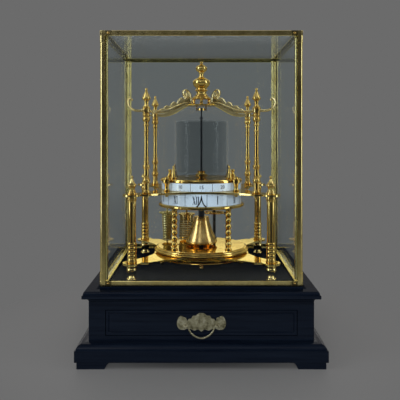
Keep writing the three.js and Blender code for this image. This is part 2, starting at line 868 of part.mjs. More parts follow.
// The arm's centre lines as [radius, height] shares: of the column's distance from the axis, and of
// the rise from the arm's eye to the top of the crown.
const armRadius = upperColumnInset * Math.SQRT2;
const armEyeLow = midPlateTop + armStudRise + seatGap;
const armEyeTop = armEyeLow + armEyeHeight;
const armRise = crownTop - armEyeLow;
const armBarShares = [[0.96, 0.12], [0.82, 0.06], [0.66, 0.13], [0.5, 0.32], [0.34, 0.54], [0.18, 0.62]];
const armVoluteShares = [
  [0.21, 0.72], [0.215, 0.95], [0.245, 1.2], [0.3, 1.33], [0.355, 1.22], [0.355, 1.05], [0.31, 1],
  [0.28, 1.1],
];
const armHornShares = [[1.03, 0.12], [1.12, 0.08], [1.22, 0.13], [1.29, 0.3], [1.315, 0.5], [1.28, 0.68]];
const armLeafShares = [
  [0.8, 0.14], [0.73, 0.28], [0.7, 0.24], [0.62, 0.46], [0.585, 0.4], [0.49, 0.7], [0.455, 0.62],
  [0.35, 0.95], [0.3, 0.88], [0.22, 0.98], [0.24, 0.6], [0.5, 0.3],
];
const barWidthShares = [0.9, 1.2, 1.35, 1.3, 1.2, 1];
const voluteWidthShares = [0.9, 0.8, 0.6, 0.5, 0.6];
const hornWidthShares = [1, 0.75, 0.5, 0.35];

function scrollArm() {
  const place = ([r, z]) => [r * armRadius, armEyeLow + z * armRise];
  const width = (share) => share * armThickness;
  const strip = (shares, widths, steps, thickness) =>
    upright(ribbonShape(shares.map(place), widths.map(width), steps), thickness);
  const leaf = new THREE.Shape(
    armLeafShares.map(place).map(([r, z]) => new THREE.Vector2(r, z)),
  );
  const eye = disc(armEyeRadius, armEyeLow, armEyeTop, turningFacets).translate(armRadius, 0, 0);
  const hole = disc(
    armStudRadius + runGap, armEyeLow - overrun, armEyeTop + overrun, turningFacets,
  ).translate(armRadius, 0, 0);
  const body = fuse(
    strip(armBarShares, barWidthShares, 6, armThickness),
    strip(armVoluteShares, voluteWidthShares, 8, armScrollThickness),
    strip(armHornShares, hornWidthShares, 4, armScrollThickness),
    upright(leaf, armThickness / 2),
    eye,
  );
  // The bar is trimmed so that it sits on the crown's lower plate and clears its pillars.
  const seat = disc(
    crownPlateRadius + overrun, armEyeLow - armRise, crownPlateTop + seatGap, roundFacets,
  );
  const heart = disc(
    crownCapRadius + seatGap, armEyeLow - armRise, crownTop + armRise, roundFacets,
  );
  const shaftRoom = disc(
    upperColumnRadius + seatGap, armEyeLow - armRise, armEyeLow, turningFacets,
  ).translate(armRadius, 0, 0);
  const finialRoom = disc(
    upperColumnRadius + seatGap, armEyeTop, armEyeTop + armRise, turningFacets,
  ).translate(armRadius, 0, 0);
  return cut(body, hole, seat, heart, shaftRoom, finialRoom);
}

const crownFinialShares = [
  [0.72, 0], [0.78, 0.04], [0.6, 0.16], [0.66, 0.26], [0.92, 0.32], [1, 0.39], [0.92, 0.46],
  [0.6, 0.52], [0.38, 0.56], [0.36, 0.66], [0.66, 0.75], [0.6, 0.83], [0.17, 0.9], [0.22, 0.95],
];

function crown() {
  const parts = [
    disc(crownPlateRadius, crownBottom, crownPlateTop, roundFacets),
    disc(crownCapRadius, crownCapBottom, crownTop, roundFacets),
  ];
  const low = crownPlateTop - rootSink;
  const high = crownCapBottom + rootSink;
  parts.push(disc(crownStemRadius, low, high, pinFacets));
  for (let i = 0; i < 4; i++) {
    const pillar = disc(crownPillarRadius, low, high, pinFacets).translate(crownPillarOrbit, 0, 0);
    parts.push(pillar.rotateZ(quarterTurn * i));
  }
  const lugIn = gimbalRadius + gimbalLugGap;
  const lugOut = lugIn + gimbalLugThickness;
  for (const side of [-1, 1]) {
    const low = Math.min(side * lugIn, side * lugOut);
    const high = Math.max(side * lugIn, side * lugOut);
    const half = gimbalLugWidth / 2;
    const lug = box(low, high, -half, half, gimbalZ - gimbalLugTail, crownBottom + rootSink);
    const hole = lyingX(gimbalPinHole, low - overrun, high + overrun, 0, gimbalZ, pinFacets);
    parts.push(cut(lug, hole));
  }
  return fuse(...parts);
}

piece("crown", crown(), brass);
piece(
  "crown_finial",
  turnedFrom(crownFinialShares, crownFinialRadius, crownFinialHeight, roundFacets)
    .translate(0, 0, crownTop + seatGap),
  brass,
);
atCorners((xSign, ySign, label) => {
  piece(`scroll_arm_${label}`, scrollArm().rotateZ(Math.atan2(ySign, xSign)), brass);
});

// Drum: floor, hour band, minute band, top plate, posts, pointer and glass chimney

const bandArborOrbit = ((ringTeeth - bandPinionTeeth) * ringModule) / 2;
const bandArborX = bandArborOrbit * Math.cos(bandArborAngle);
const bandArborY = bandArborOrbit * Math.sin(bandArborAngle);
const ringGearHigh = minuteBandTop - runGap;
const ringGearLow = ringGearHigh - ringFace;
const firstPinionDistance = (greatWheelModule * (greatWheelTeeth + firstPinionTeeth)) / 2;
const firstArborX = fuseeX + firstPinionDistance * Math.cos(firstPinionAngle);
const firstArborY = fuseeY + firstPinionDistance * Math.sin(firstPinionAngle);
const thirdPinionDistance = (bandWheelModule * (bandWheelTeeth + thirdPinionTeeth)) / 2;
const thirdArborX = bandArborX + thirdPinionDistance * Math.cos(thirdPinionAngle);
const thirdArborY = bandArborY + thirdPinionDistance * Math.sin(thirdPinionAngle);

// Places where an arbor's pivot runs in the drum floor and in the round base.
const pivotPlaces = [
  [barrelX, barrelY],
  [fuseeX, fuseeY],
  [firstArborX, firstArborY],
  [thirdArborX, thirdArborY],
];

function pivotHoles(places, zLow, zHigh) {
  return places.map(([x, y]) =>
    disc(pivotRadius + runGap, zLow, zHigh, pinFacets).translate(x, y, 0),
  );
}

const drumFloorEdgeShares = [[0.965, 0], [1, 0.35], [1, 0.7], [0.98, 1]];

function drumFloor() {
  const lip = drumFloorEdgeShares.map(([r, z]) => [
    r * drumFloorRadius,
    drumFloorBottom + z * drumFloorThickness,
  ]);
  const plate = turned([
    [drumFloorHole, drumFloorBottom],
    ...lip,
    [drumFloorHole, drumFloorTop],
    [drumFloorHole, drumFloorBottom],
  ], fineFacets);
  const spigotOut = bandRadius - bandWall - bandGap;
  const spigot = tube(
    spigotOut, spigotOut - spigotWall, drumFloorTop - rootSink, drumFloorTop + spigotHeight, fineFacets,
  );
  const passage = disc(
    steelArborRadius + runGap, drumFloorBottom - overrun, drumFloorTop + overrun, turningFacets,
  ).translate(bandArborX, bandArborY, 0);
  const blind = drumFloorBottom + pivotLength + runGap;
  return cut(
    fuse(plate, spigot),
    passage,
    ...pivotHoles(pivotPlaces, drumFloorBottom - overrun, blind),
  );
}

// The minute band carries a ring of inward teeth at its top edge.
function minuteBand() {
  const inner = bandRadius - bandWall;
  const wall = tube(bandRadius, inner, minuteBandBottom, minuteBandTop, fineFacets);
  const outline = circlePath(0, 0, inner + rootSink, fineFacets).getPoints();
  const pitch = (ringModule * ringTeeth) / 2;
  const step = (2 * Math.PI) / ringTeeth;
  const teeth = [];
  for (let i = 0; i < ringTeeth; i++) {
    const root = pitch + dedendumShare * ringModule;
    const tip = pitch - addendumShare * ringModule;
    for (const [radius, share] of [[tip, 0], [root, wheelGapShare]]) {
      const angle = bandArborAngle + (i + wheelGapShare + share) * step;
      teeth.push(new THREE.Vector2(radius * Math.cos(angle), radius * Math.sin(angle)));
    }
  }
  const shape = new THREE.Shape(outline);
  shape.holes.push(new THREE.Path(teeth));
  return fuse(wall, flat(shape, ringGearLow, ringGearHigh));
}

function hourBand() {
  return tube(bandRadius, bandRadius - bandWall, hourBandBottom, hourBandTop, fineFacets);
}

const clipShares = [[1, 0], [1, 0.1], [0.7, 0.2], [0.62, 0.35], [0.42, 0.6], [0.26, 0.94]];
const postShares = [
  [1, 0], [1, 0.14], [0.72, 0.24], [0.66, 0.5], [0.72, 0.78], [1, 0.88], [1, 1],
];
const postNutShares = [[1, 0], [1, 0.3], [0.7, 0.55], [0.3, 1]];
const notchLowShare = 0.2;
const notchHighShare = 0.55;
const coronetShares = [
  [0.65, 0], [0.65, 0.15], [1, 0.28], [1, 0.5], [0.66, 0.6], [0.62, 0.85], [0.68, 1],
];

// The top plate with its four ears and nuts, the notched bush that the rod swings in, and the four
// conical clips that stand round the glass.
function drumTop() {
  const parts = [disc(drumTopRadius, drumTopBottom, drumTopTop, fineFacets)];
  const nutBottom = drumTopTop - rootSink;
  atCorners((xSign, ySign) => {
    const ear = disc(earRadius, drumTopBottom, drumTopTop, slimFacets);
    parts.push(ear.translate(xSign * postX, ySign * postY, 0));
    const nutHeight = ySign < 0 ? frontNutHeight : rearNutHeight;
    const nut = turnedFrom(postNutShares, postNutRadius, nutHeight + rootSink, pinFacets);
    parts.push(nut.translate(xSign * postX, ySign * postY, nutBottom));
    const clip = turnedFrom(clipShares, clipRadius, clipHeight + rootSink, pinFacets);
    parts.push(clip.translate(xSign * clipX, ySign * clipY, nutBottom));
  });
  const bush = turnedFrom(coronetShares, coronetRadius, coronetHeight + rootSink, roundFacets);
  parts.push(bush.translate(0, 0, nutBottom));
  const above = drumTopTop + clipHeight + overrun;
  const cutters = [disc(drumTopHole, drumTopBottom - overrun, above, roundFacets)];
  const notchCount = 8;
  const notchLow = drumTopTop + coronetHeight * notchLowShare;
  const notchHigh = drumTopTop + coronetHeight * notchHighShare;
  for (let i = 0; i < notchCount; i++) {
    const half = coronetNotch / 2;
    const notch = box(notchInnerRadius, coronetRadius + overrun, -half, half, notchLow, notchHigh);
    cutters.push(notch.rotateZ((2 * Math.PI * i) / notchCount));
  }
  const blind = drumTopBottom + pivotLength + runGap;
  const bandPivot = pivotHoles([[bandArborX, bandArborY]], drumTopBottom - overrun, blind);
  return cut(fuse(...parts), ...cutters, ...bandPivot);
}

const pointerApexShare = 0.7;

function pointer() {
  const legShares = [[0, 0.82], [0.14, 0.58], [0.42, 0.28], [1, 0]];
  const widthShares = [1.4, 1.1, 0.9, 1.7];
  const low = drumFloorTop + seatGap;
  const legs = [-1, 1].map((side) => {
    const line = legShares.map(([x, z]) => [side * x * pointerHalf, low + z * pointerHeight]);
    const widths = widthShares.map((share) => share * pointerLimb);
    return upright(ribbonShape(line, widths, 8), pointerThickness);
  });
  const halfStem = pointerLimb / 3;
  const stem = box(
    -halfStem, halfStem, -pointerThickness / 2, pointerThickness / 2,
    low + pointerHeight * pointerApexShare, low + pointerHeight,
  );
  const below = box(
    -2 * pointerHalf, 2 * pointerHalf, -overrun, overrun, low - pointerHeight, low,
  );
  return cut(fuse(...legs, stem), below).translate(0, -(drumFloorRadius - pointerInset), 0);
}

piece("drum_floor", drumFloor(), brass);
piece("hour_band", hourBand(), enamel);
piece("minute_band", minuteBand(), enamel);
piece("drum_top", drumTop(), brass);
piece("pointer", pointer(), blackSteel);
const chimneyLow = drumTopTop + seatGap;
piece(
  "glass_chimney",
  tube(chimneyRadius, chimneyRadius - chimneyWall, chimneyLow, chimneyLow + chimneyHeight, fineFacets),
  glass,
);
atCorners((xSign, ySign, label) => {
  const height = drumTopBottom - midPlateTop - 2 * seatGap;
  const post = turnedFrom(postShares, postRadius, height, slimFacets);
  post.translate(xSign * postX, ySign * postY, midPlateTop + seatGap);
  piece(`drum_post_${label}`, post, brass);
});

// Round base, pendant ring and pillars

const roundBaseShares = [
  [0.97, 0], [1, 0.12], [1, 0.5], [0.975, 0.56], [0.96, 0.72], [0.945, 0.86], [0.92, 1],
];
const pendantShares = [[0.25, 0], [1, 0.52], [0.95, 0.68], [0.5, 0.78], [0.8, 1]];
const pillarBeads = 6;
const pillarBeadNeckShare = 0.62;
const pillarFootShares = [[1.1, 0], [1.1, 0.04], [pillarBeadNeckShare, 0.07]];
const pillarHeadShares = [[0.95, 0.95], [0.95, 1]];

// A row of equal beads between a foot and a head.
function pillarShares() {
  const low = pillarFootShares.at(-1)[1];
  const pitch = (pillarHeadShares[0][1] - low) / pillarBeads;
  const beads = [];
  for (let i = 0; i < pillarBeads; i++) {
    beads.push([1, low + (i + 0.35) * pitch], [1, low + (i + 0.65) * pitch]);
    beads.push([pillarBeadNeckShare, low + (i + 1) * pitch]);
  }
  return [...pillarFootShares, ...beads, ...pillarHeadShares];
}

function roundBase() {
  const body = turnedFrom(roundBaseShares, roundBaseRadius, roundBaseHeight, fineFacets);
  body.translate(0, 0, lowerPlateTop + seatGap);
  const places = [...pivotPlaces, [bandArborX, bandArborY]];
  return cut(body, ...pivotHoles(places, roundBaseTop - pivotLength - runGap, roundBaseTop + overrun));
}

function pendantRing() {
  const high = lowerPlateBottom - seatGap;
  const low = high - pendantRingHeight;
  const ringShares = [[0.965, 0], [0.985, 0.2], [0.985, 0.45], [1, 0.55], [1, 1]];
  const ring = turned([
    [pendantRingBore, low],
    ...ringShares.map(([r, z]) => [r * pendantRingRadius, low + z * pendantRingHeight]),
    [pendantRingBore, high],
    [pendantRingBore, low],
  ], fineFacets);
  const parts = [ring];
  for (let i = 0; i < pendantCount; i++) {
    const drop = turnedFrom(pendantShares, pendantRadius, pendantHeight + rootSink, pinFacets);
    drop.translate(pendantOrbit, 0, low - pendantHeight);
    parts.push(drop.rotateZ((2 * Math.PI * i) / pendantCount - quarterTurn));
  }
  return fuse(...parts);
}

piece("round_base", roundBase(), brass);
piece("pendant_ring", pendantRing(), brass);
const pillarPlaces = [
  ["front_left", -pillarX, -pillarY],
  ["front_right", pillarX, -pillarY],
  ["rear", 0, rearPillarY],
];
for (const [label, x, y] of pillarPlaces) {
  const height = drumFloorBottom - roundBaseTop - 2 * seatGap;
  const pillar = turnedFrom(pillarShares(), pillarRadius, height, pinFacets);
  piece(`pillar_${label}`, pillar.translate(x, y, roundBaseTop + seatGap), brass);
}

// Movement

const pivotLow = roundBaseTop - pivotLength;
const shoulderLow = roundBaseTop + seatGap;
const shoulderHigh = drumFloorBottom - seatGap;
const pivotHigh = drumFloorBottom + pivotLength;

// An arbor that stands between the round base and the drum floor, with a pivot at each end.
function standingArbor(radius) {
  return turned([
    [0, pivotLow],
    [pivotRadius, pivotLow],
    [pivotRadius, shoulderLow],
    [radius, shoulderLow],
    [radius, shoulderHigh],
    [pivotRadius, shoulderHigh],
    [pivotRadius, pivotHigh],
    [0, pivotHigh],
  ], pinFacets);
}

const barrelLow = shoulderLow + barrelFoot;
const barrelHigh = barrelLow + barrelLength;

function barrel() {
  const body = turned([
    [0, barrelLow],
    [barrelFlangeRadius - lineDiameter, barrelLow],
    [barrelFlangeRadius - lineDiameter, barrelLow + barrelFlange],
    [barrelRadius, barrelLow + barrelFlange],
    [barrelRadius, barrelHigh - barrelFlange],
    [barrelFlangeRadius, barrelHigh - barrelFlange],
    [barrelFlangeRadius, barrelHigh],
    [0, barrelHigh],
  ], roundFacets);
  return fuse(body, standingArbor(arborRadius)).translate(barrelX, barrelY, 0);
}

const fuseeLow = shoulderLow + fuseeFoot;
const fuseeHigh = fuseeLow + fuseeLength;
const greatWheelLow = fuseeHigh + wheelThickness;
const greatWheelHigh = greatWheelLow + wheelThickness;

// The radius of the fusee's cone at a share of its length.
function fuseeRadius(share) {
  return fuseeSmallRadius + (fuseeLargeRadius - fuseeSmallRadius) * share;
}

function fusee() {
  const profile = [[0, fuseeLow]];
  for (let i = 0; i < fuseeGrooves; i++) {
    const crest = i / fuseeGrooves;
    const trough = (i + 0.5) / fuseeGrooves;
    profile.push([fuseeRadius(crest), fuseeLow + crest * fuseeLength]);
    profile.push([fuseeRadius(trough) - fuseeGrooveDepth, fuseeLow + trough * fuseeLength]);
  }
  profile.push([fuseeRadius(1), fuseeHigh], [0, fuseeHigh]);
  const turn = firstPinionAngle + Math.PI / greatWheelTeeth;
  return fuse(
    turned(profile, turningFacets),
    gear(greatWheelTeeth, greatWheelModule, greatWheelLow, greatWheelHigh, turn),
    standingArbor(arborRadius),
  ).translate(fuseeX, fuseeY, 0);
}

// The line: turns round the barrel from the top down, one straight run, and part of a turn in the
// fusee's lowest groove.
function linePath() {
  const windRadius = barrelRadius + lineDiameter / 2 + seatGap;
  const lowGroove = 0.5 / fuseeGrooves;
  const runZ = fuseeLow + lowGroove * fuseeLength;
  const grooveRadius = fuseeRadius(lowGroove) - fuseeGrooveDepth / 2 + lineDiameter / 2 + runGap;
  const between = new THREE.Vector2(fuseeX - barrelX, fuseeY - barrelY);
  const lean = Math.acos((windRadius - grooveRadius) / between.length());
  const leave = Math.atan2(between.y, between.x) + lean;
  const stepsPerTurn = 24;
  const path = [];
  const steps = lineTurns * stepsPerTurn;
  for (let i = 0; i <= steps; i++) {
    const back = steps - i;
    const angle = leave + (2 * Math.PI * back) / stepsPerTurn;
    path.push(new THREE.Vector3(
      barrelX + windRadius * Math.cos(angle),
      barrelY + windRadius * Math.sin(angle),
      runZ + (linePitch * back) / stepsPerTurn,
    ));
  }
  const wrapSteps = Math.round(fuseeWrap * stepsPerTurn);
  for (let i = 0; i <= wrapSteps; i++) {
    const angle = leave - (2 * Math.PI * i) / stepsPerTurn;
    path.push(new THREE.Vector3(
      fuseeX + grooveRadius * Math.cos(angle),
      fuseeY + grooveRadius * Math.sin(angle),
      runZ,
    ));
  }
  return path;
}

// The least distance between two stretches of the line more than half a turn apart, less its diameter.
function leastGap(path) {
  const apart = 12;
  let least = Infinity;
  path.forEach((a, i) => {
    for (let k = i + apart; k < path.length; k++) least = Math.min(least, a.distanceTo(path[k]));
  });
  return least - lineDiameter;
}

const line = linePath();
console.log(`line: ${lineTurns} turns, least gap to itself ${leastGap(line).toFixed(2)} mm`);

function firstArbor() {
  const low = greatWheelLow - (pinionFace - wheelThickness) / 2;
  const turn = firstPinionAngle + Math.PI;
  return fuse(
    standingArbor(arborRadius),
    gear(firstPinionTeeth, greatWheelModule, low, low + pinionFace, turn),
  ).translate(firstArborX, firstArborY, 0);
}

const bandWheelHigh = drumFloorBottom - bandWheelDrop + wheelThickness;
const bandWheelLow = bandWheelHigh - wheelThickness;

// The black arbor that rises through the drum floor and turns the minute band by its inner teeth.
function bandArbor() {
  const topPivot = drumTopBottom + pivotLength;
  const shoulder = drumTopBottom - seatGap;
  const shaft = turned([
    [0, pivotLow],
    [pivotRadius, pivotLow],
    [pivotRadius, shoulderLow],
    [arborCollarRadius, shoulderLow],
    [arborCollarRadius, shoulderLow + arborCollarHeight],
    [steelArborRadius, shoulderLow + arborCollarHeight],
    [steelArborRadius, shoulder],
    [pivotRadius, shoulder],
    [pivotRadius, topPivot],
    [0, topPivot],
  ], slimFacets);
  const wheelTurn = thirdPinionAngle + Math.PI / bandWheelTeeth;
  const pinionTurn = bandArborAngle;
  return fuse(
    shaft,
    gear(bandWheelTeeth, bandWheelModule, bandWheelLow, bandWheelHigh, wheelTurn),
    gear(bandPinionTeeth, ringModule, ringGearLow, ringGearHigh, pinionTurn),
  ).translate(bandArborX, bandArborY, 0);
}

function thirdArbor() {
  const low = bandWheelLow - (pinionFace - wheelThickness) / 2;
  const turn = thirdPinionAngle + Math.PI;
  return fuse(
    standingArbor(arborRadius),
    gear(thirdPinionTeeth, bandWheelModule, low, low + pinionFace, turn),
  ).translate(thirdArborX, thirdArborY, 0);
}

piece("barrel", barrel(), brass);
piece("fusee", fusee(), brass);
piece("fusee_line", tubeAlong(new PointCurve(line), lineDiameter / 2, pinFacets, line.length - 1), gutLine);
piece("first_arbor", firstArbor(), blackSteel);
piece("band_arbor", bandArbor(), blackSteel);
piece("third_arbor", thirdArbor(), blackSteel);

// Pendulum

function gimbalRing() {
  const low = gimbalZ - gimbalHeight / 2;
  const ring = tube(gimbalRadius, gimbalBore, low, low + gimbalHeight, roundFacets);
  const reach = gimbalRadius + gimbalLugGap + gimbalLugThickness;
  const parts = [ring];
  for (const side of [-1, 1]) {
    const inner = side * (gimbalRadius - rootSink);
    const outer = side * reach;
    const low = Math.min(inner, outer);
    const high = Math.max(inner, outer);
    parts.push(lyingX(gimbalPinRadius, low, high, 0, gimbalZ, pinFacets));
  }
  const hole = lyingY(
    gimbalPinHole, -gimbalRadius - overrun, gimbalRadius + overrun, 0, gimbalZ, pinFacets,
  );
  return cut(fuse(...parts), hole);
}

// The rod hangs by a cross pin in the gimbal, passes through the bob and ends in its rating nut.
function pendulumRod() {
  const headTop = gimbalZ + rodHeadHeight / 2;
  const headLow = gimbalZ - rodHeadHeight / 2;
  const nutTop = gimbalZ - rodNutDrop;
  const collarLow = bobTop + seatGap;
  const collarTop = collarLow + bobCollarHeight;
  const ratingTop = bobBottom + bobRecess - seatGap;
  const ratingLow = ratingTop - ratingNutHeight - bobRecess;
  const rod = turned([
    [0, ratingLow],
    [ratingNutRadius * 0.7, ratingLow],
    [ratingNutRadius, ratingLow + rootSink],
    [ratingNutRadius, ratingTop],
    [rodRadius, ratingTop],
    [rodRadius, collarLow],
    [bobCollarRadius, collarLow],
    [bobCollarRadius, collarTop - rootSink],
    [bobCollarRadius * 0.7, collarTop],
    [rodRadius, collarTop],
    [rodRadius, nutTop - rodNutHeight],
    [rodNutRadius, nutTop - rodNutHeight],
    [rodNutRadius, nutTop],
    [rodRadius * 0.7, nutTop],
    [rodRadius * 0.7, headLow],
    [rodHeadRadius, headLow],
    [rodHeadRadius, headTop],
    [0, headTop],
  ], slimFacets);
  const pinReach = gimbalRadius;
  return fuse(rod, lyingY(gimbalPinRadius, -pinReach, pinReach, 0, gimbalZ, pinFacets));
}

const bobShares = [
  [0.97, 0], [1, 0.03], [1, 0.08], [0.95, 0.12], [0.91, 0.22], [0.76, 0.37], [0.62, 0.54], [0.53, 0.71],
  [0.475, 0.88], [0.5, 0.93], [0.47, 1],
];

// The bell-shaped bob, hollowed underneath for the rating nut and bored for the rod.
function bob() {
  const body = turnedFrom(bobShares, bobRadius, bobHeight, roundFacets);
  const recess = disc(bobRadius * 0.8, -overrun, bobRecess, roundFacets);
  const bore = disc(rodRadius + runGap, -overrun, bobHeight + overrun, slimFacets);
  return cut(body, recess, bore).translate(0, 0, bobBottom);
}

piece("gimbal_ring", gimbalRing(), brass);
piece("pendulum_rod", pendulumRod(), blackSteel);
piece("pendulum_bob", bob(), brass);

export default clock;
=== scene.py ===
# %% [markdown]
# # A skeleton table clock under a glazed brass cover
# A skeleton clock shows its whole movement. This one stands on a black drawer base, under a cover of
# brass angle and glass, and its two white bands turn past a fixed pointer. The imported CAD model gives
# every place and size. Blender adds what the eye wants: smooth turnings, rounded edges, numerals,
# screws, and finishes that are built from shader nodes.

# %% Load the frame
import math

import bpy
from mathutils import Matrix, Vector


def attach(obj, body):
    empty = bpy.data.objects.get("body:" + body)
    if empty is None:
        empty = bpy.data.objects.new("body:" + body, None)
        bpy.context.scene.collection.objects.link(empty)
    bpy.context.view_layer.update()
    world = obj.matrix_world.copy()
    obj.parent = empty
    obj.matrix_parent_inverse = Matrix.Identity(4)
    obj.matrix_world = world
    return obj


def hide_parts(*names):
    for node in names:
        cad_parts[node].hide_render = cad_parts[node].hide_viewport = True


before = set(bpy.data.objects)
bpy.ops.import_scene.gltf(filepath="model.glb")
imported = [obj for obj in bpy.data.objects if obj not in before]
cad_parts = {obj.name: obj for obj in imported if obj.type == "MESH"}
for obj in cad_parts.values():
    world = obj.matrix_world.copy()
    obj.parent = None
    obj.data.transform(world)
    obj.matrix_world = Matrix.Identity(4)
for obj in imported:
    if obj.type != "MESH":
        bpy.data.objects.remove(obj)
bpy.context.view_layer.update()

# %% [markdown]
# ## A few helpers
# An operator works on whatever is selected, so each step starts by clearing the selection. A finished
# piece keeps its place in its mesh, with its object at the origin, so that patterns in object
# coordinates stay put.

# %% Selecting
MM = 0.001
QUARTER = math.pi / 2
SAME_POINT = 0.002 * MM
CORNERS = [("front_left", -1, -1), ("front_right", 1, -1), ("rear_left", -1, 1), ("rear_right", 1, 1)]


def clear_selection():
    bpy.ops.object.select_all(action="DESELECT")


def pick(*pieces):
    clear_selection()
    for piece in pieces:
        piece.select_set(True)
    bpy.context.view_layer.objects.active = pieces[0]


def settle(piece):
    pick(piece)
    bpy.ops.object.transform_apply(location=True, rotation=True, scale=True)
    return piece


def new_object(name, data):
    piece = bpy.data.objects.new(name, data)
    bpy.context.scene.collection.objects.link(piece)
    return piece


def as_mesh(piece):
    pick(piece)
    bpy.ops.object.convert(target="MESH")
    return bpy.context.view_layer.objects.active


print("selection helpers ready")

# %% [markdown]
# A piece is moved in its mesh and not as an object. Many parts of this clock come in fours, so one
# pattern is made with care and its copies are set at the corners.

# %% Moving and copying
def move_mesh(piece, x=0.0, y=0.0, z=0.0, turn=0.0, tip=0.0, roll=0.0):
    """Rolls a mesh about Y, tips it about X, turns it about Z, then shifts it, in millimetres."""
    turned_by = Matrix.Rotation(turn, 4, "Z") @ Matrix.Rotation(tip, 4, "X") @ Matrix.Rotation(roll, 4, "Y")
    piece.data.transform(Matrix.Translation((x * MM, y * MM, z * MM)) @ turned_by)
    return piece


def stood_up(piece, **place):
    return move_mesh(piece, tip=QUARTER, **place)


def copy_of(piece, name, **place):
    """A copy with its own mesh."""
    twin = piece.copy()
    twin.data = piece.data.copy()
    twin.name = name
    bpy.context.scene.collection.objects.link(twin)
    return move_mesh(twin, **place)


def at_corners(piece, x, y, z=0.0):
    return [copy_of(piece, piece.name, x=side * x, y=depth * y, z=z) for _, side, depth in CORNERS]


def discard(*pieces):
    for piece in pieces:
        bpy.data.objects.remove(piece)


def joined(name, *pieces):
    pick(*pieces)
    if len(pieces) > 1:
        bpy.ops.object.join()
    piece = bpy.context.view_layer.objects.active
    piece.name = name
    return piece


print("moving helpers ready, corners:", len(CORNERS))

# %% [markdown]
# Real edges are never quite sharp, so each piece is bevelled a little where two faces meet. Weighted
# normals come last: they keep the broad flats flat in a mirror finish and leave the rounding to the
# bevels. A finished piece is then hung on the body it rides on, and the CAD nodes it stands for are hidden.

# %% Smoothing, cutting and finishing a piece
EDGE_DEGREES = 30


def smooth(piece, degrees=32):
    pick(piece)
    bpy.ops.object.shade_smooth_by_angle(angle=math.radians(degrees))
    return piece


def closed_up(piece):
    """Merges points that meet, turns every face outward and smooths."""
    pick(piece)
    bpy.ops.object.mode_set(mode="EDIT")
    bpy.ops.mesh.select_all(action="SELECT")
    bpy.ops.mesh.remove_doubles(threshold=SAME_POINT)
    bpy.ops.mesh.normals_make_consistent(inside=False)
    bpy.ops.object.mode_set(mode="OBJECT")
    return smooth(piece)


def modified(piece, kind, **settings):
    modifier = piece.modifiers.new("step", kind)
    for name, value in settings.items():
        setattr(modifier, name, value)
    pick(piece)
    bpy.ops.object.modifier_apply(modifier=modifier.name)
    return piece


def soften(piece, width):
    """Rounds every edge sharper than the angle, as polishing does."""
    return modified(
        piece, "BEVEL", width=width * MM, segments=2, limit_method="ANGLE",
        angle_limit=math.radians(EDGE_DEGREES), harden_normals=False,
    )


def carve(piece, cutter, operation="DIFFERENCE"):
    modified(piece, "BOOLEAN", operation=operation, solver="EXACT", object=cutter)
    discard(cutter)
    return piece


def paint(piece, material):
    piece.data.materials.clear()
    piece.data.materials.append(material)


def install(piece, material, *nodes, body="clock_base"):
    """Gives a finished piece its material and the body it rides on, and hides the CAD nodes it stands for."""
    if len(piece.data.polygons) > 6:
        modified(piece, "WEIGHTED_NORMAL", keep_sharp=True)
    paint(piece, material)
    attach(piece, body)
    if nodes:
        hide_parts(*nodes)


# %% [markdown]
# ## How a turning is made
# A lathe cuts beads, coves and ogees. Here an outline is written as a list of such cuts, one vertex is
# extruded along it, and the spin operator carries it once round the axis. Doubles are merged and the
# normals made consistent, because spin can leave a mesh inside out.

# %% Turnings
def flowing(points, steps):
    """A smooth line through points."""
    ends = [points[0], *points, points[-1]]
    line = []
    for before, start, end, after in zip(ends, ends[1:], ends[2:], ends[3:]):
        for i in range(steps):
            t = i / steps
            line.append(tuple(
                0.5 * (2 * b + (c - a) * t + (2 * a - 5 * b + 4 * c - d) * t * t
                       + (3 * b - a - 3 * c + d) * t ** 3)
                for a, b, c, d in zip(before, start, end, after)
            ))
    return line + [points[-1]]


def traced(cuts, steps=8):
    """The outline of a turning as [radius, height] points, from straight cuts and curved ones."""
    points = [cuts[0]]
    for cut in cuts[1:]:
        r0, z0 = points[-1]
        if cut[0] == "flow":
            points += flowing([points[-1], *cut[1:]], steps)[1:]
            continue
        if cut[0] not in ("bead", "ogee", "reach", "rise"):
            points.append(cut)
            continue
        kind, r1, z1 = cut
        for i in range(1, steps + 1):
            t = i / steps
            half, quarter = math.pi * t, math.pi * t / 2
            across, along = {
                "bead": (math.sin(half), (1 - math.cos(half)) / 2),
                "ogee": ((1 - math.cos(half)) / 2, t),
                "reach": (math.sin(quarter), 1 - math.cos(quarter)),
                "rise": (1 - math.cos(quarter), math.sin(quarter)),
            }[kind]
            points.append((r0 + (r1 - r0) * across, z0 + (z1 - z0) * along))
    return points


def turned(name, cuts, sides=48, steps=8):
    points = traced(cuts, steps)
    clear_selection()
    bpy.ops.mesh.primitive_plane_add(size=MM, location=(0, 0, 0))
    piece = bpy.context.object
    piece.name = name
    bpy.ops.object.mode_set(mode="EDIT")
    bpy.ops.mesh.select_all(action="SELECT")
    bpy.ops.mesh.merge(type="CENTER")
    r, z = points[0]
    bpy.ops.transform.translate(value=(r * MM, 0, z * MM))
    for (r0, z0), (r1, z1) in zip(points, points[1:]):
        step = {"value": ((r1 - r0) * MM, 0, (z1 - z0) * MM)}
        bpy.ops.mesh.extrude_vertices_move(TRANSFORM_OT_translate=step)
    bpy.ops.mesh.select_all(action="SELECT")
    bpy.ops.mesh.spin(steps=sides, angle=math.tau, center=(0, 0, 0), axis=(0, 0, 1))
    bpy.ops.object.mode_set(mode="OBJECT")
    return closed_up(piece)


print("points in one bead:", len(traced([(1, 0), ("bead", 1, 1)])))

# %% [markdown]
# ## Flat work and blocks
# Plates, hands and wheels are sawn from sheet. A closed flat curve with an extrusion and a small bevel
# gives such a piece with its edges already broken. It is made a mesh before it is stood up or moved.
# A block is a cube at its size and place, ready to be cut.

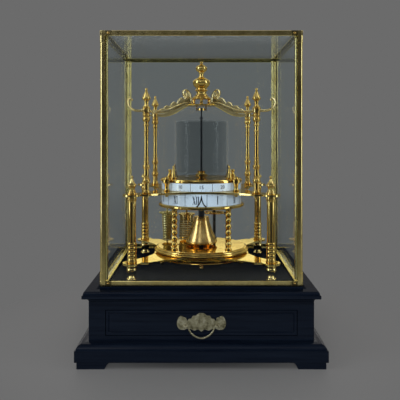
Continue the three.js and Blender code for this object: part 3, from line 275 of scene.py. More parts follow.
# %% Sawn sheet and planed blocks
def add_path(curve, points, cyclic):
    spline = curve.splines.new("POLY")
    spline.points.add(len(points) - 1)
    for point, at in zip(spline.points, points):
        point.co = (*[v * MM for v in at], *[0] * (3 - len(at)), 1)
    spline.use_cyclic_u = cyclic
    return spline


def sawn(name, outline, thickness, edge=0.25, holes=()):
    """A flat piece in the XY plane, centred on z = 0, from an outline in millimetres."""
    curve = bpy.data.curves.new(name, "CURVE")
    curve.dimensions, curve.fill_mode = "2D", "BOTH"
    curve.extrude = (thickness / 2 - edge) * MM
    curve.bevel_depth, curve.bevel_resolution, curve.offset = edge * MM, 1, -edge * MM
    for ring in (outline, *holes):
        add_path(curve, ring, True)
    return closed_up(as_mesh(new_object(name, curve)))


def block(name, low, high):
    """A plain block between two corners in millimetres."""
    clear_selection()
    bpy.ops.mesh.primitive_cube_add(size=1, location=[(a + b) / 2 * MM for a, b in zip(low, high)])
    piece = bpy.context.object
    piece.name = name
    piece.scale = [(b - a) * MM for a, b in zip(low, high)]
    return settle(piece)


def circle(radius, count, start=0.0):
    angles = [start + math.tau * i / count for i in range(count)]
    return [(radius * math.cos(angle), radius * math.sin(angle)) for angle in angles]


print("points of a bore:", len(circle(1.7, 32)))

# %% [markdown]
# ## Finishes
# Every finish is a Principled shader whose colour, roughness and bump come from noise in object
# coordinates, at the scale of the real thing. What is the same all over sits on the shader's own
# sockets, so that an export keeps it.

# %% Node helpers
class Nodes:
    """A node tree, and short ways to add to it. An input is a socket to link or a value to set."""

    def __init__(self, tree, coordinates):
        self.tree = tree
        self.place = self.add("TexCoord").outputs[coordinates]

    def add(self, kind, inputs=(), **settings):
        node = self.tree.nodes.new(f"ShaderNode{kind}")
        for name, value in settings.items():
            setattr(node, name, value)
        for name, value in dict(inputs).items():
            self.feed(node, name, value)
        return node

    def feed(self, node, name, value):
        if isinstance(value, bpy.types.NodeSocket):
            self.tree.links.new(value, node.inputs[name])
        else:
            node.inputs[name].default_value = value

    def stretched(self, x, y, z):
        return self.add("Mapping", {"Vector": self.place, "Scale": (x, y, z)}).outputs["Vector"]

    def noise(self, scale, detail=4.0, roughness=0.55, vector=None):
        inputs = {"Scale": scale, "Detail": detail, "Roughness": roughness, "Vector": vector or self.place}
        return self.add("TexNoise", inputs).outputs["Fac"]

    def ramp(self, source, *stops):
        """A colour ramp from (position, colour) stops."""
        node = self.add("ValToRGB", {"Fac": source})
        elements = node.color_ramp.elements
        while len(elements) < len(stops):
            elements.new(0.5)
        for element, (position, colour) in zip(elements, stops):
            element.position, element.color = position, (*colour, 1)
        return node.outputs["Color"]

    def span(self, source, low, high, start=0.3, end=0.7):
        inputs = {"Value": source, "From Min": start, "From Max": end, "To Min": low, "To Max": high}
        return self.add("MapRange", inputs).outputs["Result"]

    def maths(self, operation, *values):
        return self.add("Math", enumerate(values), operation=operation).outputs["Value"]

    def split(self, vector):
        return self.add("SeparateXYZ", {"Vector": vector}).outputs

    def bumped(self, height, strength, depth, normal=None):
        inputs = {"Height": height, "Strength": strength, "Distance": depth * MM}
        if normal is not None:
            inputs["Normal"] = normal
        return self.add("Bump", inputs).outputs["Normal"]

    def blended(self, share, first, second):
        return self.add("MixShader", {0: share, 1: first, 2: second}).outputs["Shader"]

    def show(self, surface):
        self.feed(self.tree.nodes["Material Output"], "Surface", surface)


class Finish(Nodes):
    """A material with one Principled shader. Keyword arguments set its sockets."""

    def __init__(self, name, **sockets):
        self.material = bpy.data.materials.new(name)
        self.material.use_nodes = True
        super().__init__(self.material.node_tree, "Object")
        self.shader = self.tree.nodes["Principled BSDF"]
        for socket, value in sockets.items():
            self.set(**{socket: value})

    def set(self, **sockets):
        for socket, value in sockets.items():
            self.feed(self.shader, socket.replace("_", " "), value)


print("node helpers ready")

# %% [markdown]
# Polished brass is a coloured mirror. What makes it look old and real is small: lacquer that has
# yellowed unevenly, a haze of fine wiping marks, and a slight waviness left by hand polishing. The
# specular tint keeps its edges golden, where a metal would otherwise mirror white.

# %% Brass
GRAZING_TINT = (1.0, 0.84, 0.46, 1)


def brass(name, bright, warm, low=0.07, high=0.17, marks=0.12, waviness=0.10):
    finish = Finish(name, Metallic=1.0, Specular_Tint=GRAZING_TINT)
    wipes = finish.noise(16, 7, 0.65, finish.stretched(6, 6, 1.5))
    waves = finish.bumped(finish.noise(55, 2), waviness, 0.5)
    finish.set(
        Base_Color=finish.ramp(finish.noise(38, 6), (0.34, warm), (0.62, bright)),
        Roughness=finish.span(wipes, low, high),
        Normal=finish.bumped(finish.noise(900, 3), marks, 0.05, waves),
    )
    return finish.material


clock_brass = brass("clock_brass", (0.86, 0.61, 0.21), (0.68, 0.43, 0.12), 0.05, 0.12)
plate_brass = brass("plate_brass", (0.90, 0.70, 0.30), (0.78, 0.55, 0.19), 0.05, 0.12, 0.08)
bob_brass = brass("bob_brass", (0.82, 0.56, 0.22), (0.70, 0.45, 0.15), 0.20, 0.26, 0.05, 0.02)
cover_brass = brass("cover_brass", (0.82, 0.71, 0.34), (0.66, 0.55, 0.22), 0.15, 0.26)
arm_brass = brass("arm_brass", (0.95, 0.80, 0.46), (0.84, 0.63, 0.27), 0.10, 0.20)
lug_brass = brass("lug_brass", (0.30, 0.26, 0.12), (0.20, 0.165, 0.07), 0.26, 0.36)
fusee_brass = brass("fusee_brass", (0.62, 0.56, 0.30), (0.46, 0.40, 0.18), 0.26, 0.38)
barrel_brass = brass("barrel_brass", (0.74, 0.54, 0.22), (0.52, 0.35, 0.12), 0.16, 0.26)
print("brasses:", len(bpy.data.materials))

# %% [markdown]
# Ebonised wood is stained black and French polished. The grain hardly shows in its colour, but it
# telegraphs through the polish as faint long ripples, so the bump is stretched along the board. The
# board under the cover has lost its polish, and the ledge round it has kept half.

# %% Ebonised wood
DECK_FADE = (0.1155, 0.1168)
COVERED_FADE = (0.166, 0.168)


def ebonised(name, along):
    finish = Finish(name, Coat_Roughness=0.08, Coat_IOR=1.45)
    grain = finish.noise(40, 8, 0.6, finish.stretched(*along))
    pores = finish.noise(120, 4, 0.5, finish.stretched(*along))
    at = finish.split(finish.place)
    reach = finish.maths("MAXIMUM", *[finish.maths("ABSOLUTE", at[axis]) for axis in "XY"])
    ledge = finish.span(at["Z"], 0.14, 0.062, *DECK_FADE)
    finish.set(
        Base_Color=finish.ramp(grain, (0.35, (0.0018, 0.0034, 0.0078)), (0.70, (0.0042, 0.0070, 0.0135))),
        Roughness=finish.span(grain, 0.22, 0.40),
        Normal=finish.bumped(pores, 0.16, 0.12),
        Coat_Weight=finish.maths("MULTIPLY", ledge, finish.span(reach, 0.2, 1.0, *COVERED_FADE)),
        Specular_IOR_Level=finish.span(at["Z"], 0.06, 0.0, *DECK_FADE),
    )
    return finish.material


black_wood = ebonised("black_wood", (0.25, 3, 6))
print("made", black_wood.name)

# %% [markdown]
# The other finishes share one recipe. A noise clouds the colour, the same noise or another wears the
# surface, and a finer one roughens it: pits in cast brass, pores in the drawer's wood, twist in gut.

# %% Wood, enamel, steel, gut
def clouded(name, cloud, stops, rough, bump=None, worn=None, along=None, **sockets):
    finish = Finish(name, **sockets)
    pattern = finish.noise(*cloud, vector=finish.stretched(*along) if along else None)
    wear = finish.noise(*worn) if worn else pattern
    finish.set(Base_Color=finish.ramp(pattern, *stops), Roughness=finish.span(wear, *rough))
    if bump:
        fine, strength, depth = bump
        finish.set(Normal=finish.bumped(finish.noise(*fine) if fine else pattern, strength, depth))
    return finish.material


pull_brass = clouded(
    "pull_brass", (160, 8, 0.62),
    [(0.30, (0.13, 0.115, 0.065)), (0.48, (0.36, 0.34, 0.22)), (0.70, (0.60, 0.58, 0.44))],
    (0.30, 0.52), ((700, 5), 0.35, 0.25), worn=(260, 5), Metallic=0.85,
)
tray_wood = clouded(
    "drawer_wood", (30, 7, 0.6), [(0.32, (0.16, 0.085, 0.040)), (0.68, (0.33, 0.20, 0.105))],
    (0.50, 0.68), (None, 0.3, 0.2), along=(6, 0.6, 6),
)
enamel = clouded(
    "band_enamel", (24, 5), [(0.30, (0.72, 0.81, 0.97)), (0.70, (0.78, 0.87, 1.0))],
    (0.12, 0.22), ((60, 2), 0.06, 0.3), worn=(90, 4), Coat_Weight=0.8, Coat_Roughness=0.04,
)
ink = clouded(
    "numeral_ink", (900, 3), [(0.3, (0.010, 0.014, 0.035)), (0.7, (0.030, 0.038, 0.075))],
    (0.22, 0.36), Coat_Weight=0.5,
)
steel = clouded(
    "blackened_steel", (120, 6), [(0.3, (0.012, 0.013, 0.017)), (0.7, (0.040, 0.042, 0.050))],
    (0.24, 0.42), ((600, 3), 0.15, 0.08), Metallic=0.7,
)
gut = clouded(
    "twisted_gut", (420, 5, 0.6), [(0.3, (0.16, 0.115, 0.05)), (0.7, (0.42, 0.33, 0.16))],
    (0.42, 0.62), ((1500, 3), 0.3, 0.08), Coat_Weight=0.5, Coat_Roughness=0.2,
)
print("finishes so far:", len(bpy.data.materials))

# %% [markdown]
# Old clear glass hardly shows, apart from what it mirrors. One node works out from the index how much
# light is mirrored at each angle, and mixes a clear shader with a glossy one. A noise gives the mirror
# side a faint haze. On a back face the index is turned over, or the far side of each pane would mirror
# everything.

# %% Glass
def clear_glass(name, middle_tint, edge_tint, index):
    finish = Finish(name)
    finish.tree.nodes.remove(finish.shader)
    facing = finish.add("LayerWeight").outputs["Facing"]
    # The clear part is tinted by facing: middle_tint where the glass faces the viewer, edge_tint towards its
    # edges. Where the middle tint is the darker one, this is painted shade.
    tint = finish.ramp(facing, (0.05, middle_tint), (0.75, edge_tint))
    gloss = finish.add("BsdfGlossy", {
        "Color": (1, 1, 1, 1),
        "Roughness": finish.span(finish.noise(14, 5, 0.6), 0.015, 0.06),
        "Normal": finish.bumped(finish.noise(9, 2), 0.05, 1.0),
    })
    back = finish.add("NewGeometry").outputs["Backfacing"]
    share = finish.add("Fresnel", {"IOR": finish.span(back, index, 1 / index, 0, 1)})
    clear = finish.add("BsdfTransparent", {"Color": tint})
    finish.show(finish.blended(share.outputs["Fac"], clear.outputs["BSDF"], gloss.outputs["BSDF"]))
    return finish.material


pane_glass = clear_glass("pane_glass", (0.945, 0.972, 0.974), (0.955, 0.980, 0.985), 1.40)
# The chimney's middle tint is far darker than its edge tint: painted shade that darkens what is seen through
# the middle of the tube.
tube_glass = clear_glass("chimney_glass", (0.845, 0.86, 0.865), (0.965, 0.970, 0.970), 1.13)
for side in ("front", "rear", "left", "right", "top"):
    paint(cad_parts[f"pane_{side}"], pane_glass)
paint(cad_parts["drawer_tray"], tray_wood)
print("finishes:", len(bpy.data.materials))

# %% [markdown]
# ## The wooden base
# A cabinet maker sticks mouldings as lengths and mitres them at the corners. The same shape comes from
# a square that is extruded upwards and resized at each step of the moulding's outline.

# %% Mitred mouldings
CASE, PLINTH, COVER = 177.0, 196.0, 162.3
PLINTH_LOW, PLINTH_TOP, CASE_TOP, DECK, COVER_LOW, COVER_TOP = 11.0, 38.6, 100.0, 117.0, 120.0, 529.0


def mitred(name, cuts, hollow=False):
    points = traced(cuts)
    half, z = points[0]
    clear_selection()
    bpy.ops.mesh.primitive_plane_add(size=2 * half * MM, location=(0, 0, z * MM))
    piece = bpy.context.object
    piece.name = name
    settle(piece)
    bpy.ops.object.mode_set(mode="EDIT")
    bpy.ops.mesh.select_all(action="SELECT")
    if hollow:
        bpy.ops.mesh.delete(type="ONLY_FACE")
        bpy.ops.mesh.select_all(action="SELECT")
    for (r0, z0), (r1, z1) in zip(points, points[1:]):
        bpy.ops.mesh.extrude_region_move(TRANSFORM_OT_translate={"value": (0, 0, (z1 - z0) * MM)})
        bpy.ops.transform.resize(value=(r1 / r0, r1 / r0, 1), center_override=(0, 0, z1 * MM))
    bpy.ops.object.mode_set(mode="OBJECT")
    return closed_up(piece)


plinth = mitred("plinth_moulding", [
    (166, PLINTH_LOW), (195.4, PLINTH_LOW), (PLINTH, 11.6), (PLINTH, 28.4), (195.4, 29), (193.8, 29.2),
    ("rise", 182.6, 38.2), (181.6, PLINTH_TOP), (166, PLINTH_TOP), (166, PLINTH_LOW),
], hollow=True)
print("plinth faces:", len(plinth.data.polygons))

# %% [markdown]
# The plinth stands on bracket feet. One bracket is sawn, copied across the corner's diagonal and joined
# to its copy, as two mitred boards are glued, and then set at the other three corners.

# %% Bracket feet
FOOT_BOARD, FOOT_Y = 20, -183
foot_outline = [(193, 0), (193, 11.4), (142, 11.4), *flowing([(143, 9.6), (146, 6.5), (149.5, 0)], 6)]
front_board = stood_up(sawn("foot_front", foot_outline, FOOT_BOARD, 0.4), y=FOOT_Y)
side_board = copy_of(front_board, "foot_side")
side_board.data.transform(Matrix(((0, -1, 0, 0), (-1, 0, 0, 0), (0, 0, 1, 0), (0, 0, 0, 1))))
side_board.data.flip_normals()
carve(front_board, side_board, "UNION")
feet = [front_board] + [copy_of(front_board, "foot", turn=QUARTER * i) for i in (1, 2, 3)]
install(smooth(joined("plinth_moulding", plinth, *feet)), black_wood, "plinth")
print("feet:", len(feet))

# %% [markdown]
# The case is a box with a mouth for the drawer. The top board over it carries one moulding round its
# edge, and a raised strip that the cover stands on.

# %% Case and top board
case = block("case_sides", (-CASE, -CASE, 38.9), (CASE, CASE, CASE_TOP))
carve(case, block("case_room", (-163, -163, 46), (163, 163, 92)))
carve(case, block("case_mouth", (-151, -179, 46), (151, -161, 87)))
install(smooth(soften(case, 0.6)), black_wood, "base_case")
top = mitred("top_moulding", [
    (176.6, 100.3), (CASE, 100.5), (177.4, 101.4), ("rise", 184.6, 105.4), (186.1, 106), (186.5, 106.5),
    (186.5, 110.9), (186.1, 111.3), (184.9, 111.5), (184.75, 112), ("rise", 183, 116.6), (182.4, DECK),
    (COVER, DECK), (COVER, 119.4), (162, 119.7), (153.6, 119.7), (153.3, 119.4), (153.3, DECK),
])
install(top, black_wood, "top_board")
print("top board faces:", len(top.data.polygons))

# %% [markdown]
# The drawer front is a plain board with a cock bead: a fine groove that runs round it just inside the
# edge. It is cut by insetting the front face, sinking the ring and raising the field again.

# %% Drawer
MARGIN, GROOVE, GROOVE_DEPTH = 3.6, 0.7, 1.2
front = block("drawer_board", (-150, -CASE, 47), (150, -161, 86))
bpy.ops.object.mode_set(mode="EDIT")
bpy.ops.mesh.select_mode(type="FACE")
bpy.ops.mesh.select_all(action="DESELECT")
bpy.ops.object.mode_set(mode="OBJECT")
for face in front.data.polygons:
    face.select = face.normal.y < -0.9
bpy.ops.object.mode_set(mode="EDIT")
for thickness, depth in ((MARGIN, 0), (GROOVE, -GROOVE_DEPTH), (GROOVE, 0), (GROOVE, GROOVE_DEPTH)):
    bpy.ops.mesh.inset(thickness=thickness * MM, depth=depth * MM)
bpy.ops.mesh.select_mode(type="VERT")
bpy.ops.object.mode_set(mode="OBJECT")
install(smooth(soften(front, 0.35)), black_wood, "drawer_front", body="drawer")
print("drawer front faces:", len(front.data.polygons))

# %% [markdown]
# ## The pull
# The back plate is cast: a cartouche with a raised field, a domed boss and two posts. Two sawn layers
# with broad bevels give the casting's steps, and turned domes make the boss and the posts' roses.

# %% Pull plate
PULL_WIDTH, PULL_HEIGHT, PULL_Z, BAIL_Y, BAIL_Z, EYE_X = 77.0, 31.0, 66.5, -183.0, 62.9, 25.0
half_outline = [
    (0, 0.52), (0.1, 0.505), (0.19, 0.43), (0.24, 0.385), (0.335, 0.38), (0.39, 0.30), (0.415, 0.235),
    (0.51, 0.22), (0.585, 0.10), (0.64, -0.01), (0.68, 0.0), (0.68, 0.12), (0.71, 0.28), (0.76, 0.35),
    (0.86, 0.36), (0.95, 0.24), (1.0, 0.0), (0.975, -0.17), (0.90, -0.29), (0.80, -0.335), (0.68, -0.33),
    (0.60, -0.27), (0.545, -0.25), (0.50, -0.285), (0.42, -0.30), (0.34, -0.355), (0.27, -0.37),
    (0.20, -0.33), (0.12, -0.32), (0.05, -0.38), (0, -0.43),
]


def cartouche(scale, name, thickness, edge, out):
    right = [(x * PULL_WIDTH / 2 * scale, z * PULL_HEIGHT * scale) for x, z in half_outline]
    ring = flowing(right, 3)
    ring += [(-x, z) for x, z in reversed(ring[1:-1])]
    return stood_up(sawn(name, ring, thickness, edge), y=-CASE - out, z=PULL_Z)


boss = turned("pull_boss", [
    (0, 0), (8.2, 0), ("bead", 8.6, 0.7), (7.6, 0.8), (7.2, 0.5), ("rise", 5.6, 0.9), (5.2, 0.7),
    ("rise", 0.4, 1.25), (0, 1.25),
], 40)
post = turned("pull_post", [
    (0, 0), (4.9, 0), ("bead", 5.1, 1.2), (3.6, 1.4), ("rise", 2.6, 2.4), (2.5, 3.2), ("bead", 3.3, 7.4),
    (1.1, 7.5), (0, 7.6),
], 32)
knuckle = turned("knuckle", [
    (0, -2.75), (2.9, -2.75), (3.1, -2.4), ("bead", 3.5, 2.4), (2.9, 2.75), (0, 2.75),
], 32)
parts = [
    cartouche(1.0, "pull_cartouche", 1.7, 0.4, 1.15), cartouche(0.86, "pull_field", 1.2, 0.55, 2.2),
    stood_up(boss, y=-CASE - 2.6, z=PULL_Z),
]
for x in (-EYE_X, EYE_X):
    parts.append(copy_of(post, "pull_post", x=x, y=-CASE - 1.6, z=BAIL_Z, tip=QUARTER))
    parts.append(copy_of(knuckle, "knuckle", x=x, y=BAIL_Y, z=BAIL_Z, roll=QUARTER))
discard(post, knuckle)
pull = smooth(joined("pull_cartouche", *parts), 40)
install(pull, pull_brass, "pull_plate", body="drawer")
print("pull faces:", len(pull.data.polygons))

# %% [markdown]
# The bail is a bow of tapered wire. A smith bends it from one rod, thick in the middle where the
# finger pulls, and its two pins turn in the knuckles.

# %% Bail
LEG_X, BAIL_DROP, BOW_STEPS, BOW_SQUARENESS = 20.35, 18.5, 48, 1.25
PIN_INSET, END_RADIUS, MIDDLE_GAIN = 0.4, 1.18, 0.32


def wire(name, points, radii, sides=5):
    """A round wire along points in millimetres, with its own radius at each."""
    curve = bpy.data.curves.new(name, "CURVE")
    curve.dimensions, curve.use_fill_caps = "3D", True
    curve.bevel_depth, curve.bevel_resolution = MM, sides
    for point, radius in zip(add_path(curve, points, False).points, radii):
        point.radius = radius
    return smooth(as_mesh(new_object(name, curve)), 60)


bow_points, bow_radii = [], []
for i in range(BOW_STEPS + 1):
    angle = math.pi * i / BOW_STEPS
    reach = math.copysign(abs(math.cos(angle)) ** BOW_SQUARENESS, math.cos(angle))
    bow_points.append((LEG_X * reach, BAIL_Y, BAIL_Z - BAIL_DROP * math.sin(angle)))
    bow_radii.append(END_RADIUS + MIDDLE_GAIN * math.sin(angle) ** 2)
bail_parts = [wire("bail_bow", bow_points, bow_radii)]
for side in (-1, 1):
    pin = turned("bail_pin", [
        (0, 0), (1.0, 0), (1.0, 6.6), (1.3, 6.8), ("bead", 1.5, 8.2), (0, 8.4),
    ], 20)
    bail_parts.append(move_mesh(pin, side * (LEG_X - PIN_INSET), BAIL_Y, BAIL_Z, roll=side * QUARTER))
bail = smooth(joined("bail_bow", *bail_parts), 50)
install(bail, pull_brass, "bail", body="bail")
print("bail faces:", len(bail.data.polygons))

# %% [markdown]
# ## The glazed cover
# The cover is built of drawn brass angle with rounded outer corners. The square frames are mitred
# mouldings, and corner pieces with small round-head screws tie the rails to the posts.

# %% Cover frames
SCREW_X, RAIL, LIP, FLANGE, WALL, ROUND = 148.9, 8.6, 1.5, 8.8, 2.0, 4.2
SEAM_LOW, SEAM_HIGH, CORNER_PROUD, ROUND_STEPS = 141.2, 510.0, 0.35, 8


def angle_strip(name, proud, low, high):
    """A length of brass angle for the corner at +X +Y, rounded outside."""
    out, inner = COVER + proud, COVER - WALL
    outline = [(out - FLANGE, out), (out - FLANGE, inner), (inner - 0.8, inner), (inner, inner - 0.8),
               (inner, out - FLANGE), (out, out - FLANGE)]
    for i in range(ROUND_STEPS + 1):
        turn = QUARTER * i / ROUND_STEPS
        outline.append((out - ROUND * (1 - math.cos(turn)), out - ROUND * (1 - math.sin(turn))))
    return move_mesh(sawn(name, outline, high - low), z=(low + high) / 2)


screw = turned("screw", [
    (0, 0), (1.9, 0), (1.9, 0.25), ("rise", 0.5, 1.0), (0.5, 0.62), (0, 0.62),
], 20)
for node, edge, inward, low, high in (
    ("cover_bottom_frame", COVER_LOW, 1, COVER_LOW, SEAM_LOW),
    ("cover_top_frame", COVER_TOP, -1, SEAM_HIGH, COVER_TOP - 0.02),
):
    z, leg, lip = edge + inward * RAIL / 2, edge + inward * RAIL, edge + inward * LIP
    rail = mitred(f"{node}_drawn", [
        (COVER, edge), (COVER, leg), (COVER - LIP, leg), (COVER - LIP, lip), (COVER - RAIL, lip),
        (COVER - RAIL, edge), (COVER, edge),
    ], hollow=True)
    smooth(soften(rail, 0.8))
    corner = angle_strip("corner_angle", CORNER_PROUD, low, high)
    lug = block("screw_lug", (-5.2, -COVER - 0.3, z - 4.2), (5.2, -COVER + 0.6, z + 4.2))
    soften(lug, 0.2)
    corners, lugs, heads = [], [], []
    for turn in [QUARTER * i for i in range(4)]:
        corners.append(copy_of(corner, "corner_angle", turn=turn))
        for x in (-SCREW_X, SCREW_X):
            lugs.append(move_mesh(copy_of(lug, "screw_lug", x=x), turn=turn))
            head = copy_of(screw, "screw_head", x=x, y=-COVER - 0.25, z=z, tip=QUARTER)
            heads.append(move_mesh(head, turn=turn))
    discard(corner, lug)
    install(joined(rail.name, rail, *corners), cover_brass, node, body="cover")
    install(joined("screw_lugs", *lugs), lug_brass, body="cover")
    install(joined("screw_heads", *heads), clock_brass, body="cover")
discard(screw)
print("cover from", COVER_LOW, "to", COVER_TOP, "mm")

# %% [markdown]
# Each post is a length of the same angle. A quarter bead stands in its inner corner and holds the
# panes, which slide in from above. The posts are one pattern, turned by quarters.

# %% Cover posts
PANE_IN, BEAD, BEAD_PAST, SEAM_GAP = 157.4, 3.6, 12, 0.3
bead = turned("glazing_bead", [
    (0, SEAM_LOW - BEAD_PAST), (BEAD, SEAM_LOW - BEAD_PAST), (BEAD, SEAM_HIGH + BEAD_PAST),
    (0, SEAM_HIGH + BEAD_PAST),
], 32)
move_mesh(bead, x=PANE_IN - BEAD, y=PANE_IN - BEAD)
post = joined("cover_post", angle_strip("cover_post", 0, SEAM_LOW + SEAM_GAP, SEAM_HIGH - SEAM_GAP), bead)
for quarter, label in enumerate(("rear_right", "rear_left", "front_left", "front_right")):
    piece = copy_of(post, f"cover_post_{label}_drawn", turn=QUARTER * quarter)
    install(piece, cover_brass, f"cover_post_{label}", body="cover")
discard(post)

# %% [markdown]
# ## Plates and columns
# Each plate is sawn from sheet: a rectangle with a shallow bay on each side and a round lobe at each
# corner. Cylinders cut the bays and add the lobes, and a bevel breaks the edges.

# %% Plates
COLUMN_X, COLUMN_Y, UPPER, POST_X, POST_Y = 117.0, 113.0, 94.5, 62.0, 53.0
PLATE_LOW, PLATE_TOP, MID_LOW, MID_TOP, FEET_LOW = 144.0, 147.5, 258.7, 262.2, 117.3
BAY, BAY_X, BAY_Y, LOBE, BORE, PAST, PLATE_EDGE = 128, 208, 205, 15.5, 69.6, 2, 0.45


def cylinder(name, radius, low, high, x=0.0, y=0.0, sides=96):
    clear_selection()
    bpy.ops.mesh.primitive_cylinder_add(
        vertices=sides, radius=radius * MM, depth=(high - low) * MM,
        location=(x * MM, y * MM, (low + high) / 2 * MM),
    )
    bpy.context.object.name = name
    return settle(bpy.context.object)


def sawn_plate(name, low, high, bore=None):
    plate = block(name, (-COLUMN_X, -COLUMN_Y, low), (COLUMN_X, COLUMN_Y, high))
    for side in (-1, 1):
        for x, y in ((0, side * BAY_Y), (side * BAY_X, 0)):
            carve(plate, cylinder("bay", BAY, low - PAST, high + PAST, x, y, 256))
    for _, x, y in CORNERS:
        carve(plate, cylinder("lobe", LOBE, low, high, x * COLUMN_X, y * COLUMN_Y), "UNION")
    if bore:
        carve(plate, cylinder("band_bore", bore, low - PAST, high + PAST, sides=192))
    return smooth(soften(plate, PLATE_EDGE))


foot = turned("plate_foot", [
    (0, 0), (8.4, 0), ("bead", 9.0, 3.6), (7.9, 4.0), ("flow", (6.4, 6.0), (5.3, 8.4), (5.7, 9.6)),
    (6.6, 9.9), ("flow", (8.4, 13.0), (9.0, 17.2), (8.5, 20.6), (7.2, 22.8)), (7.6, 23.2),
    ("bead", 8.0, 25.4), (7.8, 25.6), (7.8, 26.9), (0, 26.9),
])
feet = at_corners(foot, COLUMN_X, COLUMN_Y, FEET_LOW)
lower = joined("lower_plate_cast", sawn_plate("lower_plate_cast", PLATE_LOW, PLATE_TOP), *feet)
install(lower, plate_brass, "lower_plate")
spigot = turned("band_spigot", [
    (BORE, 261.6), (71.4, 261.6), (71.4, 265.2), (70.9, 265.7), (BORE, 265.7), (BORE, 261.6),
], 96)
finial = turned("corner_finial", [
    (0, -0.5), (8.2, -0.5), (8.3, 0.2), ("bead", 8.4, 2.0), (7.0, 2.4), ("rise", 6.2, 3.4), (6.1, 3.8),
    ("bead", 6.5, 6.2), (5.2, 6.5), ("flow", (4.9, 8.2), (5.6, 11.4), (6.6, 13.2)), (7.7, 13.6),
    ("bead", 8.3, 16.2), (7.2, 16.6), ("flow", (5.6, 18.4), (3.9, 21.4), (2.4, 24.4), (1.4, 26.4)),
    (1.7, 26.7), ("bead", 2.8, 30.4), ("rise", 0.5, 31.5), (0, 31.5),
])
nut = turned("under_nut", [
    (0, -7), (2.2, -6.9), ("bead", 3.0, -4.6), (4.7, -4.2), (5.0, -3.7), (5.0, 0.4), (0, 0.4),
], 24)
mid = joined(
    "mid_plate_cast", sawn_plate("mid_plate_cast", MID_LOW, MID_TOP, BORE), spigot,
    *at_corners(finial, COLUMN_X, COLUMN_Y, MID_TOP), *at_corners(nut, UPPER, UPPER, MID_LOW),
    *at_corners(nut, POST_X, POST_Y, MID_LOW),
)
install(mid, plate_brass, "mid_plate")
discard(foot, finial, nut)
print("plate faces:", len(lower.data.polygons), len(mid.data.polygons))

# %% [markdown]
# The columns are turned, with most of their beads near the foot and the head. A pattern of each kind
# is made once and copied to the four corners.

# %% Columns
SEAT = 0.3
lower_cuts = [(0, 0), (8.5, 0), ("bead", 8.8, 2.6), (8.0, 2.9), ("rise", 7.0, 6.6), (6.9, 7.3)]
for z in [7.4 + 6.75 * i for i in range(4)]:
    lower_cuts += [(7.2, z), ("bead", 7.95, z + 6.2), (6.9, z + 6.45)]
lower_cuts += [
    (6.9, 35.4), (6.8, 101.6), (7.2, 102.0), ("bead", 7.6, 104.0), (7.1, 104.2), ("ogee", 8.5, 106.0),
    ("bead", 8.65, 108.2), (7.9, 108.5), (7.8, 110.6), (0, 110.6),
]
upper_cuts = [
    (0, 0), (6.9, 0), ("bead", 7.2, 2.2), (6.2, 2.5), ("rise", 4.9, 5.6), (4.75, 6.2), (4.75, 17.2),
    (5.1, 17.7), ("bead", 6.7, 24.6), (4.8, 25.2), ("bead", 5.3, 27.0), (4.4, 27.4),
    ("flow", (4.7, 31.0), (4.5, 36.0), (4.1, 40.4)), (4.5, 40.8), ("bead", 6.1, 43.0), (5.2, 43.3),
    ("bead", 6.5, 48.2), (4.2, 48.8), (4.1, 52.2), (4.3, 52.4), ("bead", 5.1, 55.0), (4.0, 55.3),
    (3.8, 59.0), (4.0, 59.2), ("bead", 4.8, 61.4), (3.8, 61.8), (3.7, 98.4), (4.0, 98.6),
    ("bead", 4.7, 100.8), (3.8, 101.1), (3.8, 105.0), (4.0, 105.2), ("bead", 4.9, 107.4), (3.8, 107.8),
    (3.9, 114.6), (4.2, 114.9), ("bead", 5.3, 118.6), (4.0, 119.2), (4.2, 122.2), (4.7, 122.6),
    ("bead", 6.6, 130.6), (4.9, 131.2), (5.0, 131.6), ("bead", 6.3, 136.4), (5.7, 136.8), (5.7, 137.7),
    (3.2, 137.7), (3.2, 144.3), (6.9, 144.3), ("bead", 7.15, 146.2), (6.6, 146.5),
    ("flow", (4.6, 148.6), (3.7, 151.6), (3.5, 154.6), (3.7, 157.6)), (4.2, 158.2), ("ogee", 7.0, 161.2),
    ("bead", 7.45, 163.8), (6.5, 164.2), ("flow", (4.9, 168.0), (3.0, 172.4), (1.5, 175.6)),
    (1.8, 175.9), ("bead", 2.3, 179.2), ("rise", 0.4, 180.2), (0, 180.2),
]


def set_up(pattern, node, x, y, z):
    """Sets a copy of a turned pattern on its seat, as the piece for its own CAD node."""
    install(copy_of(pattern, f"{node}_turned", x=x, y=y, z=z + SEAT), clock_brass, node)


lower_column, upper_column = turned("lower_column", lower_cuts), turned("upper_column", upper_cuts)
print("column faces:", len(lower_column.data.polygons), len(upper_column.data.polygons))
for label, side, depth in CORNERS:
    set_up(lower_column, f"lower_column_{label}", side * COLUMN_X, depth * COLUMN_Y, PLATE_TOP)
    set_up(upper_column, f"upper_column_{label}", side * UPPER, depth * UPPER, MID_TOP)
discard(lower_column, upper_column)

# %% [markdown]
# ## Scroll arms and crown
# Each arm is sawn flat: a swept bar, a volute, a horn that curls past the column and a leafy crest.
# A ribbon with a width at each point gives the curved parts, and they are stood up and turned to the
# corner. The eye is turned, because it goes over the column's stud.

# %% Arms
ARM_REACH, EYE_LOW, EYE_TOP, CROWN_TOP, KNOB = UPPER * math.sqrt(2), 400.5, 406.5, 434.7, 2.3
RISE = CROWN_TOP - EYE_LOW


def ribbon(line, widths, steps=6):
    """The outline of a strip along a line, with its width given at even steps."""
    centre = flowing(line, steps)
    left, right = [], []
    for i, (x, y) in enumerate(centre):
        x0, y0 = centre[max(i - 1, 0)]
        x1, y1 = centre[min(i + 1, len(centre) - 1)]
        length = math.hypot(x1 - x0, y1 - y0) or 1
        share = i / (len(centre) - 1) * (len(widths) - 1)
        k = min(int(share), len(widths) - 2)
        half = (widths[k] + (widths[k + 1] - widths[k]) * (share - k)) / 2
        across = (-(y1 - y0) / length * half, (x1 - x0) / length * half)
        left.append((x + across[0], y + across[1]))
        right.append((x - across[0], y - across[1]))
    return left + right[::-1]


def arm_place(*points):
    return [(r * ARM_REACH, EYE_LOW + z * RISE) for r, z in points]


